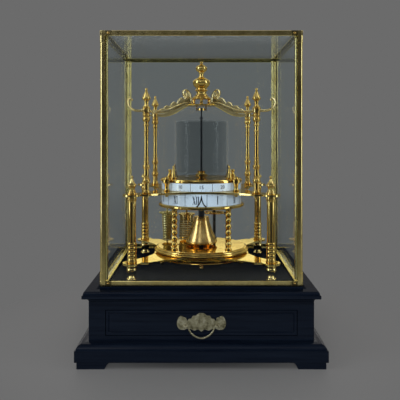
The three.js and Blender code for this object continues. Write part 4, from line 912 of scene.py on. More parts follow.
bar_line = arm_place(
    (0.955, 0.10), (0.90, 0.075), (0.82, 0.06), (0.66, 0.13), (0.5, 0.32), (0.34, 0.54), (0.20, 0.60),
)
volute_line = arm_place(
    (0.21, 0.66), (0.212, 0.90), (0.235, 1.13), (0.29, 1.29), (0.345, 1.22), (0.352, 1.05), (0.31, 0.98),
    (0.288, 1.07),
)
horn_line = arm_place(
    (1.045, 0.12), (1.12, 0.08), (1.21, 0.12), (1.28, 0.28), (1.305, 0.48), (1.275, 0.66), (1.235, 0.62),
)
leaf_line = arm_place(
    (0.80, 0.12), (0.75, 0.24), (0.71, 0.25), (0.68, 0.38), (0.63, 0.42), (0.60, 0.38), (0.565, 0.55),
    (0.51, 0.64), (0.475, 0.56), (0.43, 0.78), (0.375, 0.88), (0.335, 0.80), (0.30, 0.93), (0.235, 0.96),
    (0.24, 0.60), (0.5, 0.28), (0.66, 0.12),
)
arm_eye = turned("arm_eye", [
    (3.5, EYE_LOW), (6.6, EYE_LOW), (7.0, EYE_LOW + 0.5), (7.0, EYE_LOW + 1.6), (6.5, EYE_LOW + 2.0),
    (6.5, EYE_TOP - 2.0), (7.0, EYE_TOP - 1.6), (7.0, EYE_TOP - 0.5), (6.6, EYE_TOP), (3.5, EYE_TOP),
    (3.5, EYE_LOW),
], 40)
arm_parts = [
    stood_up(sawn("arm_bar", ribbon(bar_line, (4.4, 5.6, 6.4, 6.6, 6.2, 5.0)), 5.0, 0.8)),
    stood_up(sawn("arm_volute", ribbon(volute_line, (4.4, 4.2, 3.2, 2.4, 3.2), 8), 4.0, 0.8)),
    stood_up(sawn("arm_horn", ribbon(horn_line, (4.6, 3.8, 2.6, 1.5)), 3.8, 0.6)),
    stood_up(sawn("arm_leaf", flowing(leaf_line, 3), 2.8, 0.5)),
    move_mesh(arm_eye, x=ARM_REACH),
]
for r, z, size in ((0.288, 1.09, 2.2), (1.235, 0.60, 1.7), (0.215, 0.62, 2.4)):
    knob = turned("arm_knob", [
        (0, -KNOB), (size * 0.7, -KNOB), ("reach", size, -0.9), (size, 0.9),
        ("rise", size * 0.7, KNOB), (0, KNOB),
    ], 24)
    arm_parts.append(stood_up(knob, x=r * ARM_REACH, z=EYE_LOW + z * RISE))
arm = smooth(joined("scroll_arm", *arm_parts), 40)
for label, x, y in CORNERS:
    piece = copy_of(arm, f"scroll_arm_{label}_sawn", turn=math.atan2(y, x))
    install(piece, arm_brass, f"scroll_arm_{label}")
print("arm faces:", len(arm.data.polygons))
discard(arm)

# %% [markdown]
# The crown is two turned discs on four small posts, with the urn finial on top. Two lugs under it
# carry the gimbal ring, which is the CAD piece with its edges broken.

# %% Crown
CROWN_LOW, CROWN_POSTS, CROWN_POST_LOW, GIMBAL_Z, LUG_HALF, LUG_HOLE = 416.7, 14, 419.5, 410.7, 2.5, 0.9
crown = turned("crown_turned", [
    (0, CROWN_LOW), (27.6, CROWN_LOW), ("bead", 29.0, CROWN_LOW + 2.2), (27.4, CROWN_LOW + 2.5),
    (26.8, CROWN_LOW + 3.0), (9.6, CROWN_LOW + 3.0), ("rise", 4.2, CROWN_LOW + 4.6), (2.7, CROWN_LOW + 5.0),
    (2.6, 428.6), (4.4, 429.4), (15.4, 429.7), ("bead", 17.0, 432.6), (15.6, 432.9),
    ("rise", 13.4, CROWN_TOP), (0, CROWN_TOP),
], 64)
crown_post = turned("crown_post", [
    (0, 0), (3.0, 0), ("bead", 3.3, 1.6), (2.0, 1.9), ("bead", 2.6, 8.6), (2.0, 8.8), ("bead", 3.1, 10.4),
    (0, 10.4),
], 24)
crown_parts = [crown]
for x, y in circle(CROWN_POSTS, 4):
    crown_parts.append(copy_of(crown_post, "crown_post", x=x, y=y, z=CROWN_POST_LOW))
for near, far in ((-9.6, -7.6), (7.6, 9.6)):
    lug = block("gimbal_lug", (near, -LUG_HALF, GIMBAL_Z - 3), (far, LUG_HALF, CROWN_LOW + 0.3))
    hole = block(
        "lug_hole", (near - 1, -LUG_HOLE, GIMBAL_Z - LUG_HOLE), (far + 1, LUG_HOLE, GIMBAL_Z + LUG_HOLE),
    )
    crown_parts.append(soften(carve(lug, hole), 0.25))
install(joined("crown_turned", *crown_parts), clock_brass, "crown")
urn = turned("crown_finial_turned", [
    (0, 0), (11.4, 0), ("bead", 12.2, 2.6), (10.4, 2.9), ("flow", (9.0, 5.6), (9.2, 8.6), (10.6, 10.6)),
    ("bead", 12.2, 12.8), (9.8, 13.2), (9.4, 14.4),
    ("flow", (11.0, 16.6), (14.6, 20.6), (16.2, 25.6), (14.4, 30.4), (9.6, 33.6), (5.8, 35.0)),
    ("bead", 6.4, 36.6), (4.7, 36.9), ("flow", (4.2, 39.0), (4.2, 42.0), (5.2, 44.4)),
    ("bead", 5.9, 45.6), (5.2, 45.8),
    ("flow", (8.6, 47.6), (10.7, 51.6), (9.4, 55.8), (5.6, 58.6), (3.0, 59.8)),
    ("flow", (2.1, 61.0), (2.2, 62.0)), ("bead", 3.4, 65.2), (0, 65.3),
], 64)
install(move_mesh(urn, z=CROWN_TOP + SEAT), clock_brass, "crown_finial")
discard(crown_post)
gimbal = copy_of(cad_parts["gimbal_ring"], "gimbal_ring_turned")
gimbal.parent = None
for key in list(gimbal.keys()):
    del gimbal[key]
pick(gimbal)
bpy.ops.object.mode_set(mode="EDIT")
bpy.ops.mesh.select_all(action="SELECT")
bpy.ops.mesh.remove_doubles(threshold=0.005 * MM)
bpy.ops.mesh.dissolve_limited(angle_limit=math.radians(1))
bpy.ops.object.mode_set(mode="OBJECT")
soften(smooth(soften(gimbal, 0.2)), 0.05)
install(smooth(gimbal, 40), clock_brass, "gimbal_ring", body="gimbal")
print("crown faces:", len(crown.data.polygons))

# %% [markdown]
# ## The drum
# The two bands are rings of brass with fired white enamel, so their surface is glossy and very even.
# They turn in the gap between the drum's floor, the middle plate and the top.

# %% Floor and bands
BAND, BAND_IN, FLOOR_LOW, FLOOR_TOP, ROUND_SIDES = 75.0, 72.5, 230.5, 235.7, 192
floor = turned("drum_floor_turned", [
    (12, FLOOR_LOW), (77.6, FLOOR_LOW), ("reach", 78.6, FLOOR_LOW + 0.9), (78.6, FLOOR_LOW + 1.3),
    (79.5, FLOOR_LOW + 1.3), (79.8, FLOOR_LOW + 1.6), (79.8, FLOOR_LOW + 4.2),
    ("rise", 79.0, FLOOR_LOW + 4.9), (77.8, FLOOR_TOP), (71.6, FLOOR_TOP),
    (71.6, FLOOR_TOP + 3.2), (71.2, FLOOR_TOP + 3.5),
    (69.9, FLOOR_TOP + 3.5), (69.6, FLOOR_TOP + 3.2), (69.6, FLOOR_TOP), (12.6, FLOOR_TOP),
    (12, FLOOR_TOP - 0.6), (12, FLOOR_LOW),
], ROUND_SIDES, 6)
install(floor, clock_brass, "drum_floor")
for band, low, high in (("hour_band", 236.0, 258.4), ("minute_band", 262.5, 276.7)):
    ring = turned(f"{band}_ring", [
        (BAND_IN, low + 0.3), (72.8, low), (74.6, low), ("reach", BAND, low + 0.4), (BAND, high - 0.4),
        ("rise", 74.6, high), (72.8, high), (BAND_IN, high - 0.3), (BAND_IN, low + 0.3),
    ], ROUND_SIDES, 3)
    install(ring, enamel, band, body=band)
print("band", 2 * BAND, "mm across")

# %% [markdown]
# The minute band has teeth inside, which a pinion on the black arbor turns. A wheel is cut tooth by
# tooth from a blank, and its outline here is written in the same way, from root to tip and back.

# %% Toothed wheels
BAND_ANGLE, RING_TEETH, RING_MODULE, RING_Z = 1.12, 72, 1.933, 274.3
SLIM = ((0, -0.31), (0.62, -0.19), (1, -0.05), (1, 0.05), (0.62, 0.19), (0, 0.31))
STOUT = ((0, -0.24), (0.5, -0.20), (1, -0.06), (1, 0.06), (0.5, 0.20), (0, 0.24))


def tooth_ring(teeth, module, turn=0.0, inward=False):
    """The outline of a wheel's teeth, in millimetres. A pinion's few teeth are stouter."""
    pitch, sign = module * teeth / 2, -1 if inward else 1
    root, tip = pitch - sign * 1.25 * module, pitch + sign * 0.8 * module
    points = []
    for i in range(teeth):
        for rise, share in SLIM if teeth > 16 else STOUT:
            angle = turn + (i + share) * math.tau / teeth
            radius = root + (tip - root) * rise
            points.append((radius * math.cos(angle), radius * math.sin(angle)))
    return points


def crossings(inner, outer, arms, width):
    """The openings between a wheel's arms."""
    openings = []
    for i in range(arms):
        start, end = math.tau * i / arms, math.tau * (i + 1) / arms
        ring = []
        for radius, order in ((outer, 1), (inner, -1)):
            pad = width / 2 / radius
            for k in range(9)[::order]:
                angle = start + pad + (end - start - 2 * pad) * k / 8
                ring.append((radius * math.cos(angle), radius * math.sin(angle)))
        openings.append(ring)
    return openings


inner_teeth = tooth_ring(RING_TEETH, RING_MODULE, BAND_ANGLE + math.pi / RING_TEETH, inward=True)
ring_gear = sawn("ring_gear", circle(72.7, ROUND_SIDES), 4.0, 0.15, [inner_teeth])
install(move_mesh(ring_gear, z=RING_Z), clock_brass, body="minute_band")
print("ring teeth:", RING_TEETH)

# %% [markdown]
# The drum's top is a turned plate with an ear over each short post. Nuts hold it, four cones clip the
# glass chimney, and a notched bush in the middle lets the pendulum rod through.

# %% Top plate, chimney and short posts
TOP_LOW, TOP, CLIP_X, CLIP_Y, NOTCHES = 277.0, 282.7, 51, 27, 16
top_plate = turned("drum_top_turned", [
    (5.8, TOP_LOW), (75.6, TOP_LOW), ("reach", 76.0, TOP_LOW + 0.4), (76.0, TOP_LOW + 3.2),
    ("rise", 75.4, TOP_LOW + 3.8), (74.8, TOP_LOW + 3.8), ("rise", 73.4, TOP), (5.8, TOP), (5.8, TOP_LOW),
], ROUND_SIDES, 6)
ear = turned("ear", [
    (0, TOP_LOW), (7.7, TOP_LOW), (8, TOP_LOW + 0.3), (8, TOP - 0.3), (7.7, TOP), (0, TOP),
], 40)
front_nut = turned("front_nut", [
    (0, 0), (4.5, 0), (4.6, 0.3), (4.6, 1.6), ("rise", 1.4, 5.0), (0, 5.0),
], 32)
rear_nut = turned("rear_nut", [
    (0, 0), (4.5, 0), (4.6, 0.4), (4.6, 3.4), (3.6, 4.0), ("flow", (2.8, 6.4), (3.6, 8.8)),
    ("bead", 4.0, 11.0), ("rise", 0.4, 13.0), (0, 13.0),
], 32)
clip = turned("clip", [
    (0, 0), (5.8, 0), (5.9, 0.3), (5.9, 1.9), (4.6, 2.4),
    ("flow", (4.2, 4.6), (3.7, 8.2), (2.6, 14.0), (1.6, 20.6)), ("bead", 1.9, 22.6),
    ("rise", 0.3, 23.5), (0, 23.5),
], 32)
bush = turned("notched_bush", [
    (5.8, 0), (7.1, 0), (7.1, 1.6), ("reach", 10.6, 3.0), (11, 3.5), (11, 6.0), (10.6, 6.5), (7.6, 7.4),
    ("flow", (6.9, 9.0), (7.3, 11.6)), (7.4, 12.5), (5.8, 12.5), (5.8, 0),
], 96)
for i in range(NOTCHES):
    carve(bush, move_mesh(block("notch", (8.7, -0.8, 2.0), (12, 0.8, 7.4)), turn=math.tau * i / NOTCHES))
on_top = TOP - 0.1
nuts = [
    copy_of(front_nut if y < 0 else rear_nut, "nut", x=x * POST_X, y=y * POST_Y, z=on_top)
    for _, x, y in CORNERS
]
drum_top = joined(
    "drum_top_turned", top_plate, *at_corners(ear, POST_X, POST_Y), *nuts,
    *at_corners(clip, CLIP_X, CLIP_Y, on_top), move_mesh(bush, z=on_top),
)
discard(ear, front_nut, rear_nut, clip)
install(smooth(drum_top, 36), clock_brass, "drum_top")
chimney = turned("chimney_glass_tube", [
    (48.1, 283.6), (48.6, 283.0), (50.0, 283.0), (50.5, 283.6), (50.5, 387.9), ("rise", 49.9, 388.7),
    (48.7, 388.7), (48.1, 388.0), (48.1, 283.6),
], 96, 4)
install(chimney, tube_glass, "glass_chimney")
short_post = turned("drum_post", [
    (0, 0), (5.6, 0), (5.8, 0.3), (5.8, 1.7), (4.4, 2.1), ("flow", (3.9, 4.2), (3.8, 7.0), (4.1, 10.4)),
    (4.4, 11.7), (5.8, 12.1), (5.8, 13.7), (5.6, 13.9), (0, 13.9),
], 32)
for label, side, depth in CORNERS:
    set_up(short_post, f"drum_post_{label}", side * POST_X, depth * POST_Y, MID_TOP)
discard(short_post)
print("drum top faces:", len(drum_top.data.polygons))

# %% [markdown]
# The pointer is fixed to the drum's floor and shows where the bands stand. It is sawn from thin sheet:
# two legs that sweep together, and a stem between them.

# %% Pointer
POINTER_LOW, POINTER_Y, SHEET = FLOOR_TOP + 0.3, -77.8, 1.3
LEG_WIDE, LEG_HIGH = 9, 20.5
sweep = ((0, 0.80), (0.14, 0.56), (0.42, 0.26), (0.96, 0.02))
pointer_parts = []
for side in (-1, 1):
    line = [(side * x * LEG_WIDE, POINTER_LOW + z * LEG_HIGH) for x, z in sweep]
    pointer_parts.append(sawn("pointer_leg", ribbon(line, (2.6, 1.9, 1.6, 2.6), 8), SHEET))
low, high = POINTER_LOW + 13.4, POINTER_LOW + 20.4
pointer_parts.append(sawn("pointer_stem", [(-1.3, low), (1.3, low), (0.6, high), (-0.6, high)], SHEET, 0.2))
pointer = stood_up(joined("pointer_sawn", *pointer_parts), y=POINTER_Y)
install(pointer, steel, "pointer")
print("pointer faces:", len(pointer.data.polygons))

# %% [markdown]
# ## Numerals
# The figures are fired into the enamel. Roman ones are drawn from thick and thin strokes with serifs.
# Each is made flat and then wrapped round the band, a tenth of a millimetre proud.

# %% Hour figures
PROUD, INK_SHEET, THICK, THIN, SERIF, STROKE_PARTS, BAR_PARTS = 0.02, 0.12, 1.75, 0.7, 0.55, 6, 4
HOUR_Z, QUARTER_Z, HOUR_HIGH, HOUR_STEP, HALF_QUARTER = 247.2, 256.4, 14.0, 30, 7.5
HOURS = ["XII", "I", "II", "III", "IIII", "V", "VI", "VII", "VIII", "IX", "X", "XI"]
# For each letter: how far it moves on, its strokes (foot, head, width), its serifs (x, width, end).
GLYPHS = {
    "I": (3.1, [(1.5, 1.5, THICK)], [(1.5, 2.9, -1), (1.5, 2.9, 1)]),
    "V": (6.3, [(2.9, 1.2, THICK), (3.3, 5.1, THIN)], [(1.2, 2.9, 1), (5.1, 2.2, 1)]),
    "X": (6.4, [(5.2, 1.2, THICK), (1.1, 5.3, THIN)],
          [(1.2, 2.9, 1), (5.3, 2.2, 1), (1.1, 2.2, -1), (5.2, 2.9, -1)]),
}


def wrapped(piece, degrees, z):
    """Bends a flat figure round the band. Its x becomes a turn from the front, to the viewer's right."""
    pick(piece)
    bpy.ops.object.mode_set(mode="EDIT")
    bpy.ops.mesh.select_all(action="SELECT")
    bpy.ops.mesh.quads_convert_to_tris()
    bpy.ops.object.mode_set(mode="OBJECT")
    for vertex in piece.data.vertices:
        turn = math.radians(degrees) + vertex.co.x / (BAND * MM)
        radius = (BAND + PROUD) * MM + vertex.co.z
        vertex.co = (radius * math.sin(turn), -radius * math.cos(turn), z * MM + vertex.co.y)
    return piece


def flat_figure(name, *outlines):
    return joined(name, *[sawn(name, outline, INK_SHEET, PROUD) for outline in outlines])


def stroke(foot, head, low, high, width):
    """A slanted stroke, cut level at both ends, with points along it so that it can bend."""
    shares = [i / STROKE_PARTS for i in range(STROKE_PARTS + 1)]
    left = [(foot + (head - foot) * t - width / 2, low + (high - low) * t) for t in shares]
    return left + [(x + width, y) for x, y in reversed(left)]


def bar(x, y, width):
    bottom = [(x - width / 2 + width * i / BAR_PARTS, y - SERIF / 2) for i in range(BAR_PARTS + 1)]
    return bottom + [(bx, y + SERIF / 2) for bx, _ in reversed(bottom)]


def roman(text, height):
    x, half, shapes = 0.0, height / 2, []
    for letter in text:
        advance, strokes, serifs = GLYPHS[letter]
        shapes += [stroke(x + foot, x + head, -half, half, width) for foot, head, width in strokes]
        shapes += [bar(x + at, end * (half - SERIF / 2), width) for at, width, end in serifs]
        x += advance
    return [[(px - x / 2, py) for px, py in shape] for shape in shapes]


def mark(name, low, high, width, degrees, z):
    return wrapped(flat_figure(name, stroke(0, 0, low, high, width)), degrees, z)


hour_figures = []
for hour, text in enumerate(HOURS):
    middle = HOUR_STEP * hour - HALF_QUARTER
    hour_figures.append(wrapped(flat_figure(f"hour_{text}", *roman(text, HOUR_HIGH)), middle, HOUR_Z))
    start = HOUR_STEP * hour + HALF_QUARTER
    hour_figures.append(mark("hour_line", -10.4, 10.4, 0.9, start, HOUR_Z))
    for quarter in range(1, 4):
        at = start + HALF_QUARTER * quarter
        hour_figures.append(mark("quarter_line", -1.1, 1.1, 0.4, at, QUARTER_Z))
hour_figures = joined("hour_figures", *hour_figures)
install(hour_figures, ink, body="hour_band")
print("hour figures:", len(hour_figures.data.polygons), "faces")

# %% [markdown]
# The Arabic figures come from a text object, which is made a mesh first and then wrapped in the same
# way. A short line marks each minute, and a long one parts the twelve fields.

# %% Minute figures
CAP_SHARE, MINUTE_HIGH, FRONT_MINUTE, MINUTE_STEP = 0.7, 6.0, 15, 6


def arabic(text, height):
    curve = bpy.data.curves.new(f"minute_{text}", "FONT")
    curve.body, curve.align_x, curve.size = text, "CENTER", height / CAP_SHARE * MM
    curve.extrude, curve.offset = 0.05 * MM, 0.12 * MM
    return move_mesh(as_mesh(new_object(f"minute_{text}", curve)), y=-height / 2, z=0.05)


minute_figures = []
for minute in range(60):
    angle, five = (minute - FRONT_MINUTE) * MINUTE_STEP, minute % 5 == 0
    minute_figures.append(mark("minute_line", 0, 1.8, 0.6 if five else 0.4, angle, 263.2))
    if five:
        minute_figures.append(wrapped(arabic(str(minute or 60), MINUTE_HIGH), angle, 270.6))
for segment in range(12):
    minute_figures.append(mark("segment_line", -6.6, 6.6, 0.8, 30 * segment - 15, 269.6))
minute_figures = joined("minute_figures", *minute_figures)
install(minute_figures, ink, body="minute_band")
print("minute figures:", len(minute_figures.data.polygons), "faces")

# %% [markdown]
# ## Under the drum
# A heavy moulded disc stands on the lower plate, and a ring with acorn drops hangs below it. Beaded
# pillars carry the drum's floor.

# %% Round base, pendants and pillars
ACORN_RING, ACORN_Z, PILLAR_Z, BEADS, BEAD_STEP = 81.5, 126.0, 157.3, 6, 10.7
base_disc = turned("round_base_turned", [
    (0, 147.8), (85.0, 147.8), (86.2, 148.2), ("bead", 88.0, 152.2), (86.2, 152.6), (85.6, 153.2),
    ("rise", 82.4, 156.0), (81.6, 156.3), (81.2, 157.0), (0, 157.0),
], ROUND_SIDES, 8)
install(base_disc, clock_brass, "round_base")
ring = turned("pendant_ring_turned", [
    (62, 136.0), (84.6, 136.0), (85.0, 136.4), ("bead", 86.8, 139.2), (85.8, 139.5),
    ("reach", 87.8, 141.4), (88, 141.7), (88, 143.3), (87.6, 143.7), (62, 143.7), (62, 136.0),
], ROUND_SIDES, 6)
drop = turned("acorn", [
    (0, 0), ("flow", (0.9, 0.25), (1.6, 1.3), (3.5, 3.5), (4.2, 5.2), (3.9, 6.6), (2.3, 7.6)), (2.6, 7.8),
    ("bead", 3.3, 9.4), (2.9, 9.6), (3.1, 10.2), (0, 10.2),
], 32)
drops = [copy_of(drop, "acorn", x=x, y=y, z=ACORN_Z) for x, y in circle(ACORN_RING, 6, -QUARTER)]
discard(drop)
install(joined("pendant_ring_turned", ring, *drops), clock_brass, "pendant_ring")
pillar_cuts = [(0, 0), (6.0, 0), (6.2, 0.3), (6.2, 2.7), (5.9, 3.0), (4.2, 3.2), (3.5, 4.6)]
for z in [5.1 + BEAD_STEP * i for i in range(BEADS)]:
    pillar_cuts += [(3.5, z), (
        "flow", (4.6, z + 1.7), (5.5, z + 4.0), (5.6, z + 5.4), (5.4, z + 7.0), (4.5, z + 9.2),
        (3.5, z + 10.6),
    )]
pillar_cuts += [(4.0, 69.4), (5.2, 69.7), (5.3, 70.2), (5.3, 72.6), (5.1, 72.9), (0, 72.9)]
pillar = turned("beaded_pillar", pillar_cuts, 40, 3)
for label, x, y in (("front_left", -48, -57), ("front_right", 48, -57), ("rear", 0, 73)):
    piece = copy_of(pillar, f"pillar_{label}_turned", x=x, y=y, z=PILLAR_Z)
    install(piece, clock_brass, f"pillar_{label}")
discard(pillar)
print("acorns:", len(drops))

# %% [markdown]
# ## Movement
# The barrel pulls the line off the fusee, a cone with a spiral groove. The great wheel on the fusee
# turns the first arbor.

# %% Barrel and fusee
BARREL_X, BARREL_Y, FUSEE_X, FUSEE_Y, SHAFT_BORE, GREAT_Z = -29.0, 46.0, -66.0, 29.0, 1.7, 213.3
GROOVES, CONE_LOW, CONE_HIGH, CONE_RADIUS, CONE_GAIN = 11, 160.3, 50, 8, 3
GREAT_TEETH, GREAT_MODULE, FIRST_ANGLE = 28, 1.05, 0.79


def arbor(name):
    return turned(name, [
        (0, 155.6), (1.2, 155.6), (1.2, 157.3), (1.8, 157.3), (1.8, 230.2), (1.2, 230.2), (1.2, 231.9),
        (0, 231.9),
    ], 32)


barrel = turned("barrel_drum", [
    (0, 159.3), (13.6, 159.3), (14.0, 159.7), (14.0, 161.2), (13.2, 161.5), (13.2, 207.1), (15.9, 207.1),
    ("bead", 16.4, 208.9), (15.8, 209.3), (6.4, 209.3), (6.0, 210.6), (0, 210.6),
], 96, 6)
barrel = move_mesh(joined("barrel_drum", barrel, arbor("barrel_arbor")), x=BARREL_X, y=BARREL_Y)
install(barrel, barrel_brass, "barrel", body="barrel")
fusee_cuts, pitch = [(0, CONE_LOW), (7.9, CONE_LOW)], CONE_HIGH / GROOVES
for i in range(GROOVES):
    low, here = CONE_LOW + i * pitch, CONE_RADIUS + CONE_GAIN * i / GROOVES
    after = here + CONE_GAIN / GROOVES
    fusee_cuts += [(here, low + 0.35), (
        "flow", (here - 1.0, low + pitch * 0.28), (here - 1.25, low + pitch * 0.5),
        (after - 1.1, low + pitch * 0.74), (after, low + pitch - 0.35),
    )]
fusee_cuts += [(11.0, 210.3), (5.2, 210.4), (4.8, 212.4), (0, 212.4)]
great_wheel = sawn(
    "great_wheel", tooth_ring(GREAT_TEETH, GREAT_MODULE, FIRST_ANGLE + math.pi / GREAT_TEETH), 2.0, 0.15,
    [*crossings(5.4, 11.4, 5, 2.2), circle(SHAFT_BORE, 32)],
)
cone = turned("fusee_cone", fusee_cuts, 64, 3)
fusee = joined("fusee_cone", cone, move_mesh(great_wheel, z=GREAT_Z), arbor("fusee_arbor"))
install(move_mesh(fusee, x=FUSEE_X, y=FUSEE_Y), fusee_brass, "fusee", body="fusee")
print("barrel and fusee faces:", len(barrel.data.polygons), len(fusee.data.polygons))

# %% [markdown]
# The first and third arbors are plain, each with one pinion. The black arbor on the right has the thin
# wheel low down, and its top pinion turns the minute band from inside.

# %% Arbors
FIRST_X, FIRST_Y, BAND_X, BAND_Y = -52.697, 42.426, 25.265, 52.197
THIRD_X, THIRD_Y, THIRD_ANGLE, THIN_Z = 48.937, 43.556, -0.35, 210.0
THIN_TEETH, THIN_MODULE, BAND_BORE = 54, 0.8, 2.8
for name, teeth, module, angle, x, y, z in (
    ("first", 8, GREAT_MODULE, FIRST_ANGLE, FIRST_X, FIRST_Y, GREAT_Z),
    ("third", 9, THIN_MODULE, THIRD_ANGLE, THIRD_X, THIRD_Y, THIN_Z),
):
    teeth_line = tooth_ring(teeth, module, angle + math.pi)
    pinion = move_mesh(sawn(f"{name}_pinion", teeth_line, 6.0, 0.1, [circle(SHAFT_BORE, 24)]), z=z)
    piece = joined(f"{name}_arbor_turned", arbor(f"{name}_arbor_shaft"), pinion)
    install(move_mesh(piece, x=x, y=y), steel, f"{name}_arbor", body=f"{name}_arbor")
shaft = turned("band_arbor_shaft", [
    (0, 155.6), (1.2, 155.6), (1.2, 157.3), (4.4, 157.3), (4.6, 157.6), (4.6, 162.8), (4.2, 163.3),
    (2.9, 163.5), (2.9, 206.6), (4.4, 206.8), (4.4, 208.9), (2.9, 209.0), (2.9, 276.7), (1.2, 276.7),
    (1.2, 278.4), (0, 278.4),
], 40)
band_pinion = sawn("band_pinion", tooth_ring(12, RING_MODULE, BAND_ANGLE), 4.0, 0.15, [circle(BAND_BORE, 32)])
shaft = joined("band_arbor_turned", shaft, move_mesh(band_pinion, z=RING_Z))
install(move_mesh(shaft, x=BAND_X, y=BAND_Y), steel, "band_arbor", body="band_arbor")
thin_wheel = sawn(
    "thin_wheel", tooth_ring(THIN_TEETH, THIN_MODULE, THIRD_ANGLE + math.pi / THIN_TEETH), 2.0, 0.12,
    [*crossings(5.4, 18.2, 5, 2.4), circle(BAND_BORE, 32)],
)
install(move_mesh(thin_wheel, x=BAND_X, y=BAND_Y, z=THIN_Z), clock_brass, body="band_arbor")
print("thin wheel faces:", len(thin_wheel.data.polygons))

# %% [markdown]
# The line is gut: three strands twisted into a cord. A path is laid round the barrel, straight across
# and into the fusee's lowest groove, and three thin wires wind about that path.

# %% Gut line
WIND, RUN_Z, GROOVE_RADIUS, TURNS, TURN_STEPS, TURN_RISE, RUN_STEPS = 14.7, 162.57, 9.086, 8, 48, 4.2, 20
GROOVE_POINTS, FINER, STRANDS, TWIST, STRAND_OUT, STRAND_RADIUS = 35, 3, 3, 7.5, 0.58, 0.64


def line_route():
    dx, dy = FUSEE_X - BARREL_X, FUSEE_Y - BARREL_Y
    leave = math.atan2(dy, dx) + math.acos((WIND - GROOVE_RADIUS) / math.hypot(dx, dy))

    def at(x, y, radius, angle, rise=0.0):
        return Vector((x + radius * math.cos(angle), y + radius * math.sin(angle), RUN_Z + rise))

    route = []
    for back in range(TURNS * TURN_STEPS, -1, -1):
        angle = leave + math.tau * back / TURN_STEPS
        route.append(at(BARREL_X, BARREL_Y, WIND, angle, TURN_RISE * back / TURN_STEPS))
    start, end = route[-1], at(FUSEE_X, FUSEE_Y, GROOVE_RADIUS, leave)
    route += [start.lerp(end, i / RUN_STEPS) for i in range(1, RUN_STEPS)]
    for i in range(GROOVE_POINTS):
        route.append(at(FUSEE_X, FUSEE_Y, GROOVE_RADIUS, leave - math.tau * i / TURN_STEPS))
    return route


route = line_route()
finer = [a.lerp(b, k / FINER) for a, b in zip(route, route[1:]) for k in range(FINER)] + [route[-1]]
lengths = [0.0]
for a, b in zip(finer, finer[1:]):
    lengths.append(lengths[-1] + (b - a).length)
strands = []
for strand in range(STRANDS):
    points = []
    for i, here in enumerate(finer):
        along = (finer[min(i + 1, len(finer) - 1)] - finer[max(i - 1, 0)]).normalized()
        side = along.cross(Vector((0, 0, 1))).normalized()
        up = side.cross(along)
        angle = math.tau * (lengths[i] / TWIST + strand / STRANDS)
        points.append(tuple(here + (side * math.cos(angle) + up * math.sin(angle)) * STRAND_OUT))
    strands.append(wire("strand", points, [STRAND_RADIUS] * len(points), 1))
line = joined("twisted_line", *strands)
install(line, gut, "fusee_line")
print("line length", round(lengths[-1]), "mm, faces", len(line.data.polygons))

# %% [markdown]
# ## Pendulum
# The rod hangs in the gimbal. The bob is a turned bell, hollow underneath, and the nut below it sets
# the rate.

# %% Rod and bob
BOB_Z = 161.3
rod = turned("rod_turned", [
    (0, 158.0), (2.8, 158.0), (4.0, 158.5), (4.2, 159.0), (4.2, 164.6), (3.9, 165.0), (2.0, 165.0),
    (2.0, 210.1), (5.2, 210.1), (5.6, 210.6), (5.6, 220.4), ("rise", 4.6, 222.6), (4.0, 223.0),
    (3.9, 225.1), (2.0, 225.1), (2.0, 392.7), (3.0, 392.7), (3.2, 393.0), (3.2, 396.4), (3.0, 396.7),
    (1.4, 396.7), (1.4, 408.2), (2.6, 408.2), (2.8, 408.5), (2.8, 412.9), (2.6, 413.2), (0, 413.2),
], 40)
cross_pin = turned("cross_pin", [(0, -6.4), (0.8, -6.4), (0.9, -6.2), (0.9, 6.2), (0.8, 6.4), (0, 6.4)], 20)
rod = joined("rod_turned", rod, stood_up(cross_pin, z=GIMBAL_Z))
install(rod, steel, "pendulum_rod", body="pendulum")
bob = turned("bob_turned", [
    (2.3, 4.0), (23.6, 4.0), (23.6, 0.4), (24.0, 0), (28.2, 0), (28.6, 0.3), ("bead", 29.5, 4.0),
    (28.2, 4.4),
    ("flow", (27.6, 6.0), (25.7, 11.5), (22.8, 18.0), (20.0, 25.0), (17.4, 32.0), (15.3, 38.2), (14.2, 42.4)),
    (14.2, 42.7), ("bead", 14.9, 45.3), (13.9, 45.6), (13.8, 48.0), (13.4, 48.5), (2.3, 48.5), (2.3, 4.0),
], 96)
install(move_mesh(bob, z=BOB_Z), bob_brass, "pendulum_bob", body="pendulum")
print("bob faces:", len(bob.data.polygons))

# %% [markdown]
# ## Stage, lamps and camera
# The floor is a wide sheet that is grey near the clock and fades, further out, into the same plain
# grey as the backdrop. Mirrors see through it where it has faded, to the room below.

# %% Stage
BACKDROP, SHEET_RADIUS, FADE_FROM, FADE_TO = (0.147, 0.147, 0.147, 1), 12, 0.17, 0.44
clear_selection()
bpy.ops.mesh.primitive_circle_add(vertices=96, radius=SHEET_RADIUS, fill_type="NGON", location=(0, 0, 0))
sheet = bpy.context.object
sheet.name = "paper_sheet"
paper = Finish("paper", Base_Color=(0.182, 0.180, 0.179, 1), Roughness=0.6)
glow = paper.add("Emission", {"Color": BACKDROP}).outputs["Emission"]
through = paper.add("BsdfTransparent").outputs["BSDF"]
beyond = paper.blended(paper.add("LightPath").outputs["Is Glossy Ray"], glow, through)
distance = paper.add("VectorMath", {0: paper.place}, operation="LENGTH").outputs["Value"]
fade = paper.span(distance, 0.0, 1.0, FADE_FROM, FADE_TO)
paper.show(paper.blended(fade, paper.shader.outputs["BSDF"], beyond))
paint(sheet, paper.material)
print("sheet fades out at", FADE_TO, "m")

# %% [markdown]
# Soft boxes light the clock from both sides. The two in front are hidden from mirrors, so that they
# fill the shadows but leave no square highlight on the brass.

